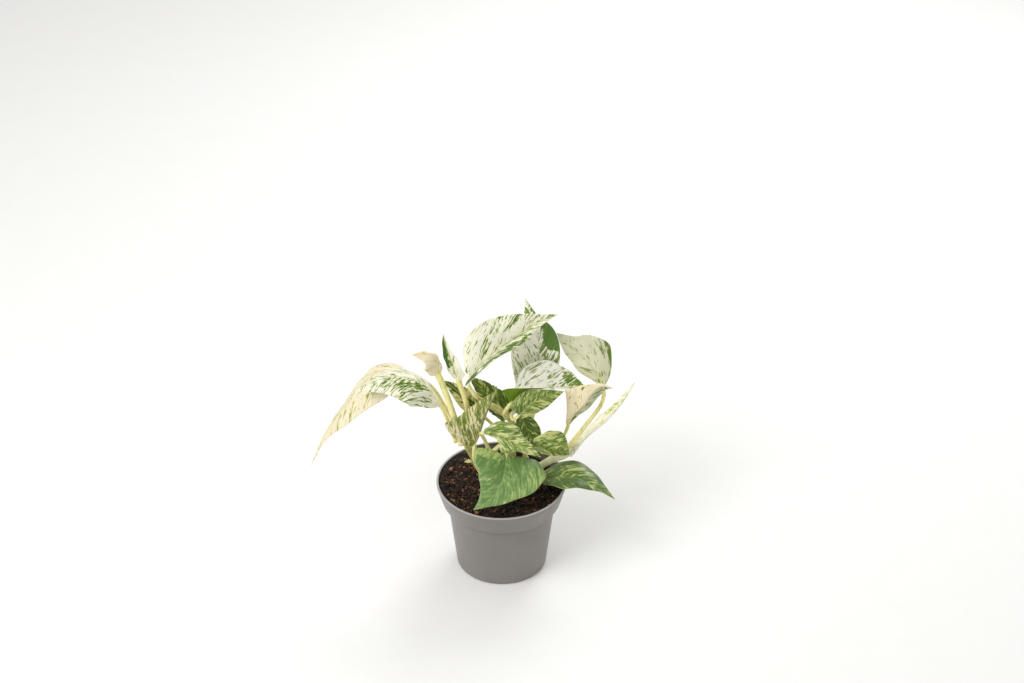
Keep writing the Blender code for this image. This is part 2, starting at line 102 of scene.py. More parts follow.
# Blades: rib runs from the stalk to the tip, up is the way the upper side faces, left and right
# are the halves as seen from the stalk, looking along the rib.
LEAVES = {
    "left_streaked": dict(
        rib=((-55, 15, 80), (-70, 14, 103), (-88, 12, 113), (-110, 10, 111), (-133, 8, 100)),
        up=(0, -0.1, 1), left=half((14, 24, 24, 19, 10), 42, -11), right=half((8, 23, 27, 24, 14), 24),
        upper=look("cream", 0.4, 0.3, patches=0.16, seed=1.3, spots=((0.3, 0.5, 0.14, 0.3, 0.18),))),
    "left_long": dict(
        rib=((-83, 36, 95), (-106, 38, 103), (-127, 35, 90), (-144, 31, 67), (-163, 26, 39), (-177, 20, 8)),
        up=(-0.3, -0.1, 1), left=half((14, 27, 24, 14, 4), 25, 3), right=half((13, 23, 20, 12, 3), 22, 2),
        upper=look("warm", 0.26, 0.2, patches=0.16, seed=2.9)),
    "left_curled": dict(
        rib=((-57, 18, 111), (-57, 18, 122), (-61, 17, 131), (-69, 16, 135), (-80, 14, 135)),
        up=(0.5, -0.3, 1), left=half((8, 13, 14, 11, 6), 40), right=half((4, 4, 4, 3, 2), -10),
        upper=look("pink", 0.02, 0.02, patches=0.03, stripe=0.2, seed=4.1)),
    "left_unrolling": dict(
        rib=((-40, 24, 103), (-44, 24, 118), (-49, 25, 135), (-52, 25, 150)),
        up=(-0.7, -0.7, 0.1), left=half((4, 6, 6, 5, 3), -30), right=half((7, 15, 13, 9, 4), -10),
        upper=look("cream", 0.2, 0.1, stripe=0.4, seed=5.2, spots=((0.1, 0.65, 0.26, 0.4, 0.9),)),
        under=look("cream", 0.15, 0.1, seed=5.6)),
    "top_cream": dict(
        rib=((-27, 12, 112), (-10, 24, 127), (8, 38, 134), (28, 50, 143), (51, 58, 150)),
        up=TO_FRONT, left=half((8, 26, 28, 22, 9), 0),
        right=half((13, 19, 19, 17, 8), (-85, -75, -62, -60, -60), 12),
        upper=look("cream", 0.27, 0.5, patches=0.16, seed=6.7,
                   spots=((0.1, 0.62, 0.14, 0.2, 0.16), (0.95, 0.4, 0.18, 0.26, 0.28),
                          (1.0, 0.0, 0.4, 0.12, 0.9))),
        under=look("cream", 0.3, 0.5, seed=6.9,
                   spots=((1.0, 0.0, 0.5, 0.2, 0.9), (0.9, 0.4, 0.2, 0.2, 0.3)))),
    "top_upright": dict(
        rib=((31, 50, 78), (34, 53, 104), (33, 60, 126), (22, 73, 158)),
        up=(0, -0.9, 0.4), left=half((18, 24, 26, 21, 8), 12, 6), right=half((15, 19, 20, 16, 5), 12, 5),
        # This blade lies in the shade of the blade above it, so its palette is painted lighter to make up for
        # that shade.
        upper=look("painted_light_white", 0.36, 0.48, patches=0.25, seed=7.7,
                   spots=((0.86, 0.55, 0.22, 0.15, 0.9), (0.5, 0.95, 0.6, 0.2, 0.25)))),
    "right_specked": dict(
        rib=((93, 38, 85), (89, 42, 93), (82, 47, 101), (73, 54, 108), (62, 60, 114), (51, 67, 124)),
        up=TO_FRONT, left=half((3, 9, 13, 11, 6), 25), right=half((3, 17, 26, 20, 10), 5),
        upper=look("grey", 0.2, 0.2, patches=0.2, seed=8.8, spots=((1.0, 0.22, 0.1, 0.26, 0.8),))),
    "right_pink": dict(
        rib=((61, 25, 50), (67, 24, 63), (75, 24, 73), (82, 24, 85), (90, 22, 95), (101, 20, 95)),
        up=TO_FRONT, left=half((2, 8, 22, 14, 4), 5), right=half((2, 7, 10, 12, 9), 55),
        # The right half folds down and faces away from the light. Its own darker palette is painted shade.
        upper=look("pink", 0.14, 0.5, seed=9.1, right_tones="pink_painted_shade", spots=((0.14, 0.62, 0.05, 0.04, 0.6),))),
    "back_cream": dict(
        rib=((7, 14, 84), (20, 18, 86), (36, 28, 89), (54, 36, 85), (77, 42, 82)),
        up=(0, 0, 1), left=half((5, 16, 25, 24, 16), -50),
        right=half((16, 13, 5, 4, 3), (-85, -80, -20, 10, 10), 7),
        # This blade faces up and back, away from most of the light, so its palette is painted lighter to make
        # up for that shade.
        upper=look("painted_light_white", 0.33, 0.4, patches=0.18, seed=10.4, spots=((0.28, 0.85, 0.2, 0.13, 0.5),)),
        under=look("plain", 0.8, 0.8, patches=0.03, contrast=0.6, seed=10.9)),
    "back_green": dict(
        rib=((16, 2, 77), (27, 9, 85), (41, 16, 88), (57, 22, 90)),
        up=TO_FRONT, left=half((11, 13, 12, 8, 4), 0, 2), right=half((4, 9, 10, 9, 5), 10),
        upper=look("leaf", 0.7, 0.64, net=0.6, seed=11.2)),
    "low_round": dict(
        rib=((28, -4, 50), (38, -5, 47), (50, -6, 43), (62, -7, 40)),
        up=(0, 0, 1), left=half((5, 12, 17, 18, 15), -60), right=half((4, 8, 9, 7, 4), 5),
        upper=look("leaf", 0.74, 0.95, net=0.7, seed=12.5)),
    "middle_streaked": dict(
        rib=((-16, -4, 63), (-1, -6, 60), (12, -9, 54), (26, -12, 49), (36, -14, 42)),
        up=(0, 0, 1), left=half((3, 13, 15, 10, 4), -65), right=half((2, 4, 15, 7, 5), 20),
        upper=look("lime", 0.66, 0.6, net=0.5, seed=13.6)),
    "middle_dark": dict(
        rib=((18, 12, 70), (22, 10, 60), (26, 9, 50), (32, 9, 37)),
        up=TO_FRONT, left=half((5, 9, 11, 11, 8)), right=half((4, 9, 11, 10, 6)),
        upper=look("leaf", 0.95, 0.85, net=0.3, seed=14.2)),
    "torn": dict(
        rib=((5, 30, 56), (-6, 34, 69), (-18, 37, 82), (-30, 39, 95)),
        up=TO_FRONT, left=half((6, 9, 10, 7, 4), 0, 3), right=half((8, 13, 13, 10, 6), 0, 4),
        ragged=0.12,
        upper=look("leaf", 0.85, 0.8, net=0.2, seed=15.8)),
    "left_inner": dict(
        rib=((-20, 28, 64), (-31, 28, 76), (-42, 28, 88), (-53, 28, 98)),
        up=TO_FRONT, left=half((5, 9, 9, 7, 4), 0, 3), right=half((5, 9, 9, 7, 4), 0, 3),
        upper=look("yellow", 0.42, 0.4, stripe=0.9, seed=16.3)),
    "left_olive": dict(
        rib=((-25, 4, 41), (-21, 3, 56), (-17, 4, 71), (-11, 6, 86), (-4, 8, 101)),
        up=TO_FRONT, left=half((22, 32, 22, 14, 7), 5), right=half((3, 8, 10, 8, 5), 80),
        upper=look("olive", 0.7, 0.8, patches=0.14, seed=17.7, spots=((0.15, 0.08, 0.22, 0.14, -0.3),))),
    "front_broad": dict(
        rib=((5, -7, 38), (3, -20, 34), (1, -32, 30), (-5, -44, 24), (-15, -52, 18), (-25, -56, 14)),
        up=(0.19, -0.46, 0.87), left=half((29, 39, 31, 16, 5), 0, 6), right=half((30, 29, 24, 19, 9), -8),
        upper=look("broad", 0.86, 0.9, patches=0.08, contrast=1.9, seed=18.1,
                   spots=((0.8, 0.06, 0.24, 0.1, -0.42), (0.05, 0.4, 0.16, 0.3, -0.2)))),
    "front_right": dict(
        rib=((37, -10, 13), (52, -14, 19), (70, -19, 21), (88, -26, 15), (103, -32, 8)),
        up=(0, 0, 1), left=half((13, 23, 23, 17, 9), -5, 2), right=half((5, 12, 15, 9, 2), 5),
        upper=look("dull", 0.86, 0.92, patches=0.12, contrast=2.2, seed=19.9,
                   spots=((0.25, 0.5, 0.14, 0.24, -0.22),))),
    "bud": dict(
        rib=((-27, 32, 2), (-30, 30, 5), (-35, 28, 6)),
        up=(0, -0.3, 1), left=half((2, 3, 3, 2, 1), 10), right=half((2, 3, 3, 2, 1), 10),
        upper=look("yellow", 0.5, 0.5, seed=20.5)),
}

STEMS = {
    "left": dict(route=((-21, 27, -28), (-22, 26, 0), (-30, 23, 24), (-37, 20, 44)), radius=(3.2, 3.0)),
    "middle": dict(route=((10, 22, -28), (10, 21, 30), (9, 20, 58), (-3, 20, 71), (-15, 21, 78)),
                   radius=(3.2, 3.2)),
    "front": dict(route=((-8, 15, -28), (-8, 14, 8), (-9, 12, 30)), radius=(2.8, 2.6)),
    # The right stem's pale colour is partly its own and partly painted light against the shade of a leaf.
    "right": dict(route=((24, 12, -28), (30, 13, 4), (45, 17, 16), (57, 19, 20), (64, 18, 27)),
                  radius=(3.0, 3.8), pale=True),
    "back": dict(route=((22, 34, -28), (22, 33, 10), (23, 31, 32)), radius=(2.6, 2.4)),
}
SPEAR = dict(route=((67, 15, 31), (75, 13, 45), (88, 10, 63), (105, 6, 86), (120, 4, 112)),
             radius=3.4, sink=8)

STALKS = {
    "left_streaked": dict(route=((-43, 19, 40), (-47, 18, 54), (-52, 16, 70)), radius=(2.0, 1.4)),
    "left_long": dict(route=((-40, 26, 40), (-50, 34, 60), (-66, 44, 82)), radius=(2.0, 1.4)),
    "left_curled": dict(route=((-37, 13, 42), (-44, 14, 70), (-53, 17, 100)), radius=(3.2, 2.8)),
    "left_unrolling": dict(route=((-30, 21, 42), (-31, 20, 72), (-37, 23, 94)), radius=(2.4, 2.4)),
    "top_cream": dict(route=((-19, 17, 84), (-25, 13, 94), (-30, 10, 108)), radius=(2.2, 1.6)),
    "top_upright": dict(route=((24, 35, 38), (29, 41, 50), (32, 47, 68)), radius=(2.0, 1.6)),
    "right_specked": dict(route=((66, 23, 33), (80, 30, 50), (91, 36, 64), (94, 37, 76)),
                          radius=(2.2, 1.8), sink=8),
    "right_pink": dict(route=((53, 24, 25), (57, 26, 36), (60, 26, 44)), radius=(1.8, 1.5)),
    "back_cream": dict(route=((4, 15, 68), (3, 12, 74)), radius=(2.0, 1.6)),
    "back_green": dict(route=((11, 17, 70), (9, 8, 73), (11, 0, 74)), radius=(1.8, 1.4)),
    "low_round": dict(route=((30, 8, 11), (24, 8, 24), (20, 3, 40)), radius=(1.8, 1.4)),
    "middle_streaked": dict(route=((-12, 10, 34), (-16, 7, 48), (-19, 1, 58)), radius=(1.8, 1.4)),
    "middle_dark": dict(route=((26, 28, 38), (26, 23, 58), (19, 14, 77)), radius=(1.8, 1.4)),
    "torn": dict(route=((12, 27, 38), (9, 29, 48)), radius=(1.8, 1.4)),
    "left_inner": dict(route=((4, 24, 34), (-6, 28, 46), (-15, 29, 56)), radius=(1.8, 1.4)),
    "left_olive": dict(route=((-16, 9, 1), (-21, 7, 13), (-25, 5, 27)), radius=(2.2, 1.8)),
    "front_broad": dict(route=((-6, 9, 33), (0, 7, 41), (5, 2, 41)), radius=(2.2, 1.6)),
    "front_right": dict(route=((33, 7, 4), (32, 0, 9), (33, -7, 11)), radius=(2.0, 1.5)),
}

# Palettes of a blade, from its palest to its deepest colour.
TONES = {
    "cream": (srgb(238, 235, 214), srgb(190, 198, 124), srgb(104, 134, 44), srgb(50, 86, 12)),
    "warm": (srgb(236, 225, 194), srgb(204, 199, 132), srgb(148, 154, 70), srgb(102, 122, 38)),
    "pink": (srgb(236, 222, 188), srgb(216, 202, 144), srgb(160, 164, 76), srgb(106, 124, 34)),
    # A darker, greyer copy of the pink palette, for a half that faces down away from the light: painted
    # shade.
    "pink_painted_shade": (srgb(206, 206, 180), srgb(176, 182, 138), srgb(112, 130, 66), srgb(76, 98, 36)),
    "grey": (srgb(208, 207, 178), srgb(186, 188, 138), srgb(124, 140, 62), srgb(84, 112, 30)),
    # A brighter copy of the cream palette, for blades that lie in shade: painted light that lifts them as if
    # they were lit more strongly.
    "painted_light_white": (srgb(254, 252, 240), srgb(208, 212, 150), srgb(132, 152, 78), srgb(88, 126, 44)),
    "yellow": (srgb(228, 220, 164), srgb(184, 190, 98), srgb(108, 132, 40), srgb(50, 78, 18)),
    "lime": (srgb(214, 217, 156), srgb(172, 186, 90), srgb(98, 132, 34), srgb(60, 96, 12)),
    "olive": (srgb(220, 206, 166), srgb(180, 178, 106), srgb(122, 134, 48), srgb(86, 106, 30)),
    "leaf": (srgb(192, 196, 124), srgb(142, 160, 66), srgb(82, 114, 22), srgb(54, 84, 8)),
    "lemon": (srgb(250, 247, 218), srgb(226, 227, 158), srgb(200, 210, 108), srgb(160, 180, 70)),
    "plain": (srgb(128, 156, 54), srgb(118, 148, 46), srgb(104, 136, 32), srgb(92, 124, 26)),
    "broad": (srgb(178, 196, 116), srgb(152, 180, 98), srgb(122, 153, 90), srgb(98, 132, 66)),
    "dull": (srgb(184, 192, 116), srgb(140, 160, 82), srgb(94, 120, 60), srgb(72, 98, 42)),
}

# ---------------------------------------------------------------------------- user settings


class PothosPot(bpy.types.PropertyGroup):
    wall: FloatProperty(name="Wall", description="Thickness of the pot's wall",
                        default=1.2 * MM, min=0.5 * MM, unit="LENGTH")
    floor: FloatProperty(name="Floor", description="Thickness of the pot's floor",
                         default=1.8 * MM, min=0.5 * MM, unit="LENGTH")
    base_radius: FloatProperty(name="Base radius", description="Radius where the pot meets its foot",
                               default=42.0 * MM, unit="LENGTH")
    collar_height: FloatProperty(name="Collar height", description="Height of the band under the rim",
                                 default=19.3 * MM, unit="LENGTH")
    steps: IntProperty(name="Steps", description="Faces round the pot", default=128, min=32)
    colour: FloatVectorProperty(name="Colour", description="Colour of the plastic", subtype="COLOR",
                                size=4, min=0, max=1, default=srgb(125, 121, 117))


class PothosLeaves(bpy.types.PropertyGroup):
    thickness: FloatProperty(name="Thickness", description="Thickness of a blade",
                             default=0.5 * MM, min=0.1 * MM, unit="LENGTH")
    wave: FloatProperty(name="Wave", description="How far a blade's margin waves out of its plane",
                        default=0.7 * MM, unit="LENGTH")
    crown: FloatProperty(name="Crown", description="How far a half blade arches, as a share of its width",
                         default=0.07, min=0, max=0.3, subtype="FACTOR")
    vein_depth: FloatProperty(name="Vein depth", description="How deep the side veins are sunk",
                              default=0.14 * MM, unit="LENGTH")
    vein_spacing: FloatProperty(name="Vein spacing", description="Distance between side veins along the rib",
                                default=7.0 * MM, min=1 * MM, unit="LENGTH")


class PothosStems(bpy.types.PropertyGroup):
    stalk_foot: FloatVectorProperty(name="Stalk foot", description="Colour of a leaf stalk at its foot",
                                    subtype="COLOR", size=4, min=0, max=1, default=srgb(240, 230, 166))
    stalk_top: FloatVectorProperty(name="Stalk top", description="Colour of a leaf stalk under its blade",
                                   subtype="COLOR", size=4, min=0, max=1, default=srgb(224, 220, 136))
    stem: FloatVectorProperty(name="Stem", description="Colour of the rooted stems", subtype="COLOR",
                              size=4, min=0, max=1, default=srgb(216, 212, 140))
    # The youngest stem is paler than the rest. Its colour is also painted lighter still, to make up for the
    # shade of the leaf over it: partly its own colour, partly painted light.
    pale_stem_painted_lighter: FloatVectorProperty(name="Pale stem", description="Colour of the youngest stem",
                                   subtype="COLOR", size=4, min=0, max=1, default=srgb(244, 242, 204))


class PothosSoil(bpy.types.PropertyGroup):
    crumbs: IntProperty(name="Crumbs", description="Crumbs of peat on the soil", default=1100, min=0)
    chips: IntProperty(name="Chips", description="Chips of bark on the soil", default=320, min=0)
    fibres: IntProperty(name="Fibres", description="Strands of fibre on the soil", default=220, min=0)
    peat: FloatVectorProperty(name="Peat", description="Colour of damp peat", subtype="COLOR",
                              size=4, min=0, max=1, default=srgb(33, 25, 20))
    bark: FloatVectorProperty(name="Bark", description="Colour of a dry bark chip", subtype="COLOR",
                              size=4, min=0, max=1, default=srgb(158, 112, 80))


class PothosStage(bpy.types.PropertyGroup):
    distance: FloatProperty(name="Camera distance", description="From the camera to its aim point",
                            default=2.0, min=0.5, unit="LENGTH")
    tilt: FloatProperty(name="Camera tilt", description="How far the camera looks down",
                        default=math.radians(33.19), subtype="ANGLE")
    lens: FloatProperty(name="Lens", description="Focal length in millimetres", default=79.44, min=20)
    floor: FloatVectorProperty(name="Floor", description="Colour of the floor", subtype="COLOR",
                               size=4, min=0, max=1, default=srgb(244, 244, 243))


# ---------------------------------------------------------------------------- curves and surfaces

CURVE_SAMPLES = 24        # places on each span of a smooth route


def smooth_route(points, count):
    """Evenly spaced places on a smooth curve through the points, with their tangents."""
    pts = np.array(points, float)
    ends = np.vstack([2 * pts[0] - pts[1], pts, 2 * pts[-1] - pts[-2]])
    t = np.linspace(0, 1, CURVE_SAMPLES, endpoint=False)[:, None]
    spans = []
    for a, b, c, d in zip(ends, ends[1:], ends[2:], ends[3:]):
        spans.append(0.5 * (2 * b + (c - a) * t + (2 * a - 5 * b + 4 * c - d) * t**2
                            + (3 * b - 3 * c + d - a) * t**3))
    fine = np.vstack(spans + [pts[-1:]])
    run = np.concatenate([[0], np.cumsum(np.linalg.norm(np.diff(fine, axis=0), axis=1))])
    even = np.linspace(0, run[-1], count)
    places = np.column_stack([np.interp(even, run, fine[:, k]) for k in range(3)])
    tangents = np.gradient(places, axis=0)
    return places, unit(tangents)


def unit(vectors):
    """Vectors of the same direction and length 1."""
    return vectors / np.maximum(np.linalg.norm(vectors, axis=-1, keepdims=True), 1e-9)


def from_soil(points):
    """Plant points, in millimetres from the soil's surface, as world metres."""
    return np.array(points, float) * MM + (0, 0, SOIL_TOP)


def read_along(rows, share):
    """Values at shares 0 to 1 along evenly spaced rows."""
    step = np.linspace(0, 1, len(rows))
    return np.column_stack([np.interp(share, step, rows[:, k]) for k in range(rows.shape[1])])


def select_only(ob):
    """Leaves one object selected and active."""
    bpy.ops.object.select_all(action="DESELECT")
    ob.select_set(True)
    bpy.context.view_layer.objects.active = ob


def add_grid(name, columns, rows):
    """A flat grid from -1 to 1 with its own UV map, to be shaped."""
    bpy.ops.object.select_all(action="DESELECT")
    bpy.ops.mesh.primitive_grid_add(x_subdivisions=columns, y_subdivisions=rows, size=2)
    ob = bpy.context.active_object
    ob.name = ob.data.name = name
    return ob


def read_points(mesh):
    """A mesh's points, as rows of X, Y and Z."""
    flat = np.zeros(len(mesh.vertices) * 3, np.float32)
    mesh.vertices.foreach_get("co", flat)
    return flat.reshape(-1, 3).astype(float)


def write_points(mesh, places):
    """Moves a mesh's points."""
    mesh.vertices.foreach_set("co", np.asarray(places, np.float32).ravel())
    mesh.update()


def write_attribute(mesh, name, kind, values):
    """Gives a mesh's points a named value that its material reads."""
    layer = mesh.attributes.new(name, kind, "POINT")
    layer.data.foreach_set("vector" if kind == "FLOAT_VECTOR" else "value",
                           np.asarray(values, np.float32).ravel())


def apply_all(ob):
    """Applies an object's modifiers in their order."""
    select_only(ob)
    for modifier in list(ob.modifiers):
        bpy.ops.object.modifier_apply(modifier=modifier.name)


def edit(ob, *steps):
    """Runs edit-mode steps on everything in one object."""
    select_only(ob)
    bpy.ops.object.mode_set(mode="EDIT")
    bpy.ops.mesh.select_all(action="SELECT")
    for step in steps:
        step()
    bpy.ops.object.mode_set(mode="OBJECT")


def weld():
    """Merges the selected points that lie on each other."""
    bpy.ops.mesh.remove_doubles(threshold=0.00001)


def face_out():
    """Turns the selected faces outwards."""
    bpy.ops.mesh.normals_make_consistent(inside=False)


def place_piece(ob, slot, *replaced, materials):
    """Gives a finished piece its finish and its body, and hides the nodes that it stands for."""
    for material in materials:
        ob.data.materials.append(material)
    select_only(ob)
    bpy.ops.object.shade_smooth()
    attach(ob, "root")
    if replaced:
        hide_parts(*replaced)
    return ob


# ---------------------------------------------------------------------------- shader building

def feed(tree, made, values):
    """Gives a node its inputs, by socket: links from other sockets, or plain values."""
    for key, value in values.items():
        if isinstance(value, bpy.types.NodeSocket):
            tree.links.new(value, made.inputs[key])
        else:
            made.inputs[key].default_value = value


def node(tree, kind, values=None, **settings):
    """A shader node with its settings and inputs."""
    made = tree.nodes.new("ShaderNode" + kind)
    for key, value in settings.items():
        setattr(made, key, value)
    feed(tree, made, values or {})
    return made


def sums(tree, operation, first, second=0.0, third=0.0):
    """The result of one sum on numbers that change over the surface."""
    return node(tree, "Math", {0: first, 1: second, 2: third}, operation=operation).outputs[0]


def rise(tree, value, low, high):
    """0 below low and 1 above high, with a smooth step between."""
    made = node(tree, "MapRange", {"Value": value, "From Min": low, "From Max": high},
                interpolation_type="SMOOTHSTEP")
    return made.outputs["Result"]


def mix_colour(tree, share, first, second, blend="MIX"):
    """Two colours mixed by a share."""
    made = node(tree, "Mix", {0: share, 6: first, 7: second}, data_type="RGBA", blend_type=blend)
    return made.outputs[2]


def grey(tree, value):
    """A grey of one value, to multiply a colour by."""
    return node(tree, "CombineColor", {0: value, 1: value, 2: value}).outputs[0]


def scaled(colour, times):
    """A colour made lighter or darker."""
    return [part * times for part in colour[:3]] + [1]


def noise_at(tree, place, scale, detail=2.0, roughness=0.5, distortion=0.0):
    """Smooth noise from 0 to 1 at a place."""
    made = node(tree, "TexNoise", {"Vector": place, "Scale": scale, "Detail": detail,
                                   "Roughness": roughness, "Distortion": distortion})
    return made.outputs["Fac"]


def new_group(name, inputs, outputs):
    """An empty shader node group with its sockets; gives the tree, its inputs and its output node."""
    tree = bpy.data.node_groups.new(name, "ShaderNodeTree")
    for label, kind in inputs:
        tree.interface.new_socket(label, in_out="INPUT", socket_type="NodeSocket" + kind)
    for label, kind in outputs:
        tree.interface.new_socket(label, in_out="OUTPUT", socket_type="NodeSocket" + kind)
    return tree, tree.nodes.new("NodeGroupInput").outputs, tree.nodes.new("NodeGroupOutput")


VEIN_SLOPE = 1.5          # how far a side vein runs forward for each step outwards
VEIN_CURVE = 11.0         # how much it turns towards the tip, for each metre out
# Marks for each metre, across the side veins and along them.
STREAKS = (185.0, 150.0)
FLECKS = (620.0, 400.0)
SHADES = (120.0, 60.0)
NET_CELLS = (420.0, 170.0)
PATCHES = (62.0, 52.0)    # large patches for each metre, across the blade and along its rib
FLECK_WEIGHT = 0.7        # how much the flecks add to the streaks
SIDE_SHIFT = 3.7          # how far apart in the noise the two halves of a blade lie
# Tones at which one colour of a palette starts to give way to the next, and ends.
TO_PALE = (0.46, 0.53)
TO_MIDDLE = (0.54, 0.62)
TO_DEEP = (0.78, 0.96)
RIB_EDGES = (0.0012, 0.0005)      # the rib's pale line, out from its middle, in metres
STRIPE_EDGES = (0.003, 0.001)     # the dark stripe along the rib, likewise
MARGIN_EDGES = (0.485, 0.497)     # the pale margin, as shares of the width from the middle


def along_veins(tree, root, out, marks, layer):
    """Noise places laid along the side veins, with so many marks across and along them."""
    across, length = marks
    return node(tree, "CombineXYZ", {"X": sums(tree, "MULTIPLY", root, across),
                                     "Y": sums(tree, "MULTIPLY", out, length),
                                     "Z": layer}).outputs[0]


def blade_tone(tree, given, plan, side, root, out, layer):
    """How green each place is, from the palest at 0 to the deepest at 1, and its streaks."""
    streaks = noise_at(tree, along_veins(tree, root, out, STREAKS, layer), 1.0, 3.0, 0.5, 0.9)
    flecks = noise_at(tree, along_veins(tree, root, out, FLECKS, layer), 1.0, 2.0, 0.5, 0.6)
    drift = node(tree, "CombineXYZ", {"X": sums(tree, "MULTIPLY", plan["X"], PATCHES[0]),
                                      "Y": sums(tree, "MULTIPLY", root, PATCHES[1]), "Z": layer})
    cloud = noise_at(tree, drift.outputs[0], 1.0, 2.5, 0.5)
    half_green = node(tree, "Mix", {0: side, 2: given["Left"], 3: given["Right"]}).outputs[0]
    level = sums(tree, "ADD", half_green, given["Spots"])
    level = sums(tree, "MULTIPLY_ADD", sums(tree, "SUBTRACT", cloud, 0.5),
                 sums(tree, "MULTIPLY", given["Patches"], 4.0), level)
    rib_stripe = sums(tree, "MULTIPLY", rise(tree, out, *STRIPE_EDGES), given["Stripe"])
    level = sums(tree, "ADD", level, rib_stripe)
    marks = sums(tree, "MULTIPLY_ADD", sums(tree, "SUBTRACT", flecks, 0.5), FLECK_WEIGHT,
                 sums(tree, "SUBTRACT", streaks, 0.5))
    return sums(tree, "MULTIPLY_ADD", marks, given["Contrast"], level), streaks


def vein_masks(tree, root, out, spacing):
    """1 on the side veins, and the strength of the pale lines on all the veins."""
    phase = sums(tree, "FRACT", sums(tree, "DIVIDE", root, spacing))
    from_vein = sums(tree, "ABSOLUTE", sums(tree, "SUBTRACT", phase, 0.5))
    side_vein = rise(tree, from_vein, 0.43, 0.5)
    midrib = rise(tree, out, *RIB_EDGES)
    vein = sums(tree, "MAXIMUM", sums(tree, "MULTIPLY", side_vein, 0.3), midrib)
    return side_vein, sums(tree, "MULTIPLY", vein, 0.42)


def marbling_group():
    """Colour, roughness and relief of one side of a variegated blade, laid along its veins."""
    tree, given, result = new_group(
        "Marbled blade",
        [("Share", "Vector"), ("Plan", "Vector"), ("Left", "Float"), ("Right", "Float"),
         ("Patches", "Float"), ("Contrast", "Float"), ("Net", "Float"), ("Stripe", "Float"),
         ("Spots", "Float"), ("Seed", "Float"), ("Spacing", "Float"),
         ("Palest", "Color"), ("Pale", "Color"), ("Middle", "Color"), ("Deep", "Color")],
        [("Colour", "Color"), ("Roughness", "Float"), ("Height", "Float")])
    share = node(tree, "SeparateXYZ", {0: given["Share"]}).outputs
    plan = node(tree, "SeparateXYZ", {0: given["Plan"]}).outputs
    out = sums(tree, "ABSOLUTE", plan["X"])
    side = sums(tree, "GREATER_THAN", plan["X"], 0.0)
    lead = sums(tree, "MULTIPLY", out, VEIN_SLOPE)
    turn = sums(tree, "MULTIPLY", sums(tree, "MULTIPLY", out, out), VEIN_CURVE)
    root = sums(tree, "SUBTRACT", plan["Y"], sums(tree, "ADD", lead, turn))
    layer = sums(tree, "MULTIPLY_ADD", side, SIDE_SHIFT, given["Seed"])

    tone, streaks = blade_tone(tree, given, plan, side, root, out, layer)
    colour = mix_colour(tree, rise(tree, tone, *TO_PALE), given["Palest"], given["Pale"])
    colour = mix_colour(tree, rise(tree, tone, *TO_MIDDLE), colour, given["Middle"])
    colour = mix_colour(tree, rise(tree, tone, *TO_DEEP), colour, given["Deep"])

    soft = noise_at(tree, along_veins(tree, root, out, SHADES, layer), 1.0, 2.0)
    shade = node(tree, "MapRange", {"Value": soft, "From Min": 0.3, "From Max": 0.7,
                                    "To Min": 0.91, "To Max": 1.06}).outputs["Result"]
    colour = mix_colour(tree, 1.0, colour, grey(tree, shade), "MULTIPLY")

    cells = node(tree, "TexVoronoi",
                 {"Vector": along_veins(tree, root, out, NET_CELLS, layer), "Scale": 1.0},
                 feature="DISTANCE_TO_EDGE").outputs["Distance"]
    threads = sums(tree, "MULTIPLY", rise(tree, cells, 0.12, 0.03), given["Net"])
    threads = sums(tree, "MULTIPLY", threads, rise(tree, streaks, 0.38, 0.56))
    colour = mix_colour(tree, threads, colour, given["Palest"])

    side_vein, vein = vein_masks(tree, root, out, given["Spacing"])
    colour = mix_colour(tree, vein, colour, given["Pale"])
    edge = sums(tree, "ABSOLUTE", sums(tree, "SUBTRACT", share["X"], 0.5))
    colour = mix_colour(tree, sums(tree, "MULTIPLY", rise(tree, edge, *MARGIN_EDGES), 0.65),
                        colour, given["Palest"])

    fine = noise_at(tree, given["Plan"], 1400.0, 2.0)
    relief = sums(tree, "MULTIPLY_ADD", fine, 0.18, sums(tree, "MULTIPLY", side_vein, -0.5))
    tree.links.new(colour, result.inputs["Colour"])
    tree.links.new(sums(tree, "MULTIPLY_ADD", soft, 0.16, 0.3), result.inputs["Roughness"])
    tree.links.new(sums(tree, "MULTIPLY_ADD", cells, 0.25, relief), result.inputs["Height"])
    return tree


def spot_group():
    """1 inside an oval on a blade, 0 outside, with an uneven edge."""
    tree, given, result = new_group(
        "Spot", [("Share", "Vector"), ("Plan", "Vector"), ("Place", "Vector"), ("Size", "Vector")],
        [("Mask", "Float")])
    away = node(tree, "VectorMath", {0: given["Share"], 1: given["Place"]}, operation="SUBTRACT")
    away = node(tree, "VectorMath", {0: away.outputs[0], 1: given["Size"]}, operation="DIVIDE")
    far = node(tree, "VectorMath", {0: away.outputs[0]}, operation="LENGTH").outputs["Value"]
    uneven = sums(tree, "SUBTRACT", noise_at(tree, given["Plan"], 160.0, 3.0, 0.6), 0.5)
    far = sums(tree, "MULTIPLY_ADD", uneven, 1.8, far)
    tree.links.new(rise(tree, far, 1.1, 0.85), result.inputs["Mask"])
    return tree


def grain_group():
    """Two colours mixed by grain at one scale, with a relief from the same grain."""
    tree, given, result = new_group(
        "Grain",
        [("Place", "Vector"), ("Scale", "Float"), ("Detail", "Float"), ("Low", "Float"),
         ("High", "Float"), ("First", "Color"), ("Second", "Color")],
        [("Colour", "Color"), ("Height", "Float")])
    texture = node(tree, "TexNoise", {"Vector": given["Place"], "Scale": given["Scale"],
                                      "Detail": given["Detail"], "Roughness": 0.6})
    fac = texture.outputs["Fac"]
    share = rise(tree, fac, given["Low"], given["High"])
    tree.links.new(mix_colour(tree, share, given["First"], given["Second"]), result.inputs["Colour"])
    tree.links.new(fac, result.inputs["Height"])
    return tree


def new_material(name):
    """A material with an empty Principled shader."""
    material = bpy.data.materials.new(name)
    material.use_nodes = True
    tree = material.node_tree
    return material, tree, tree.nodes["Principled BSDF"]


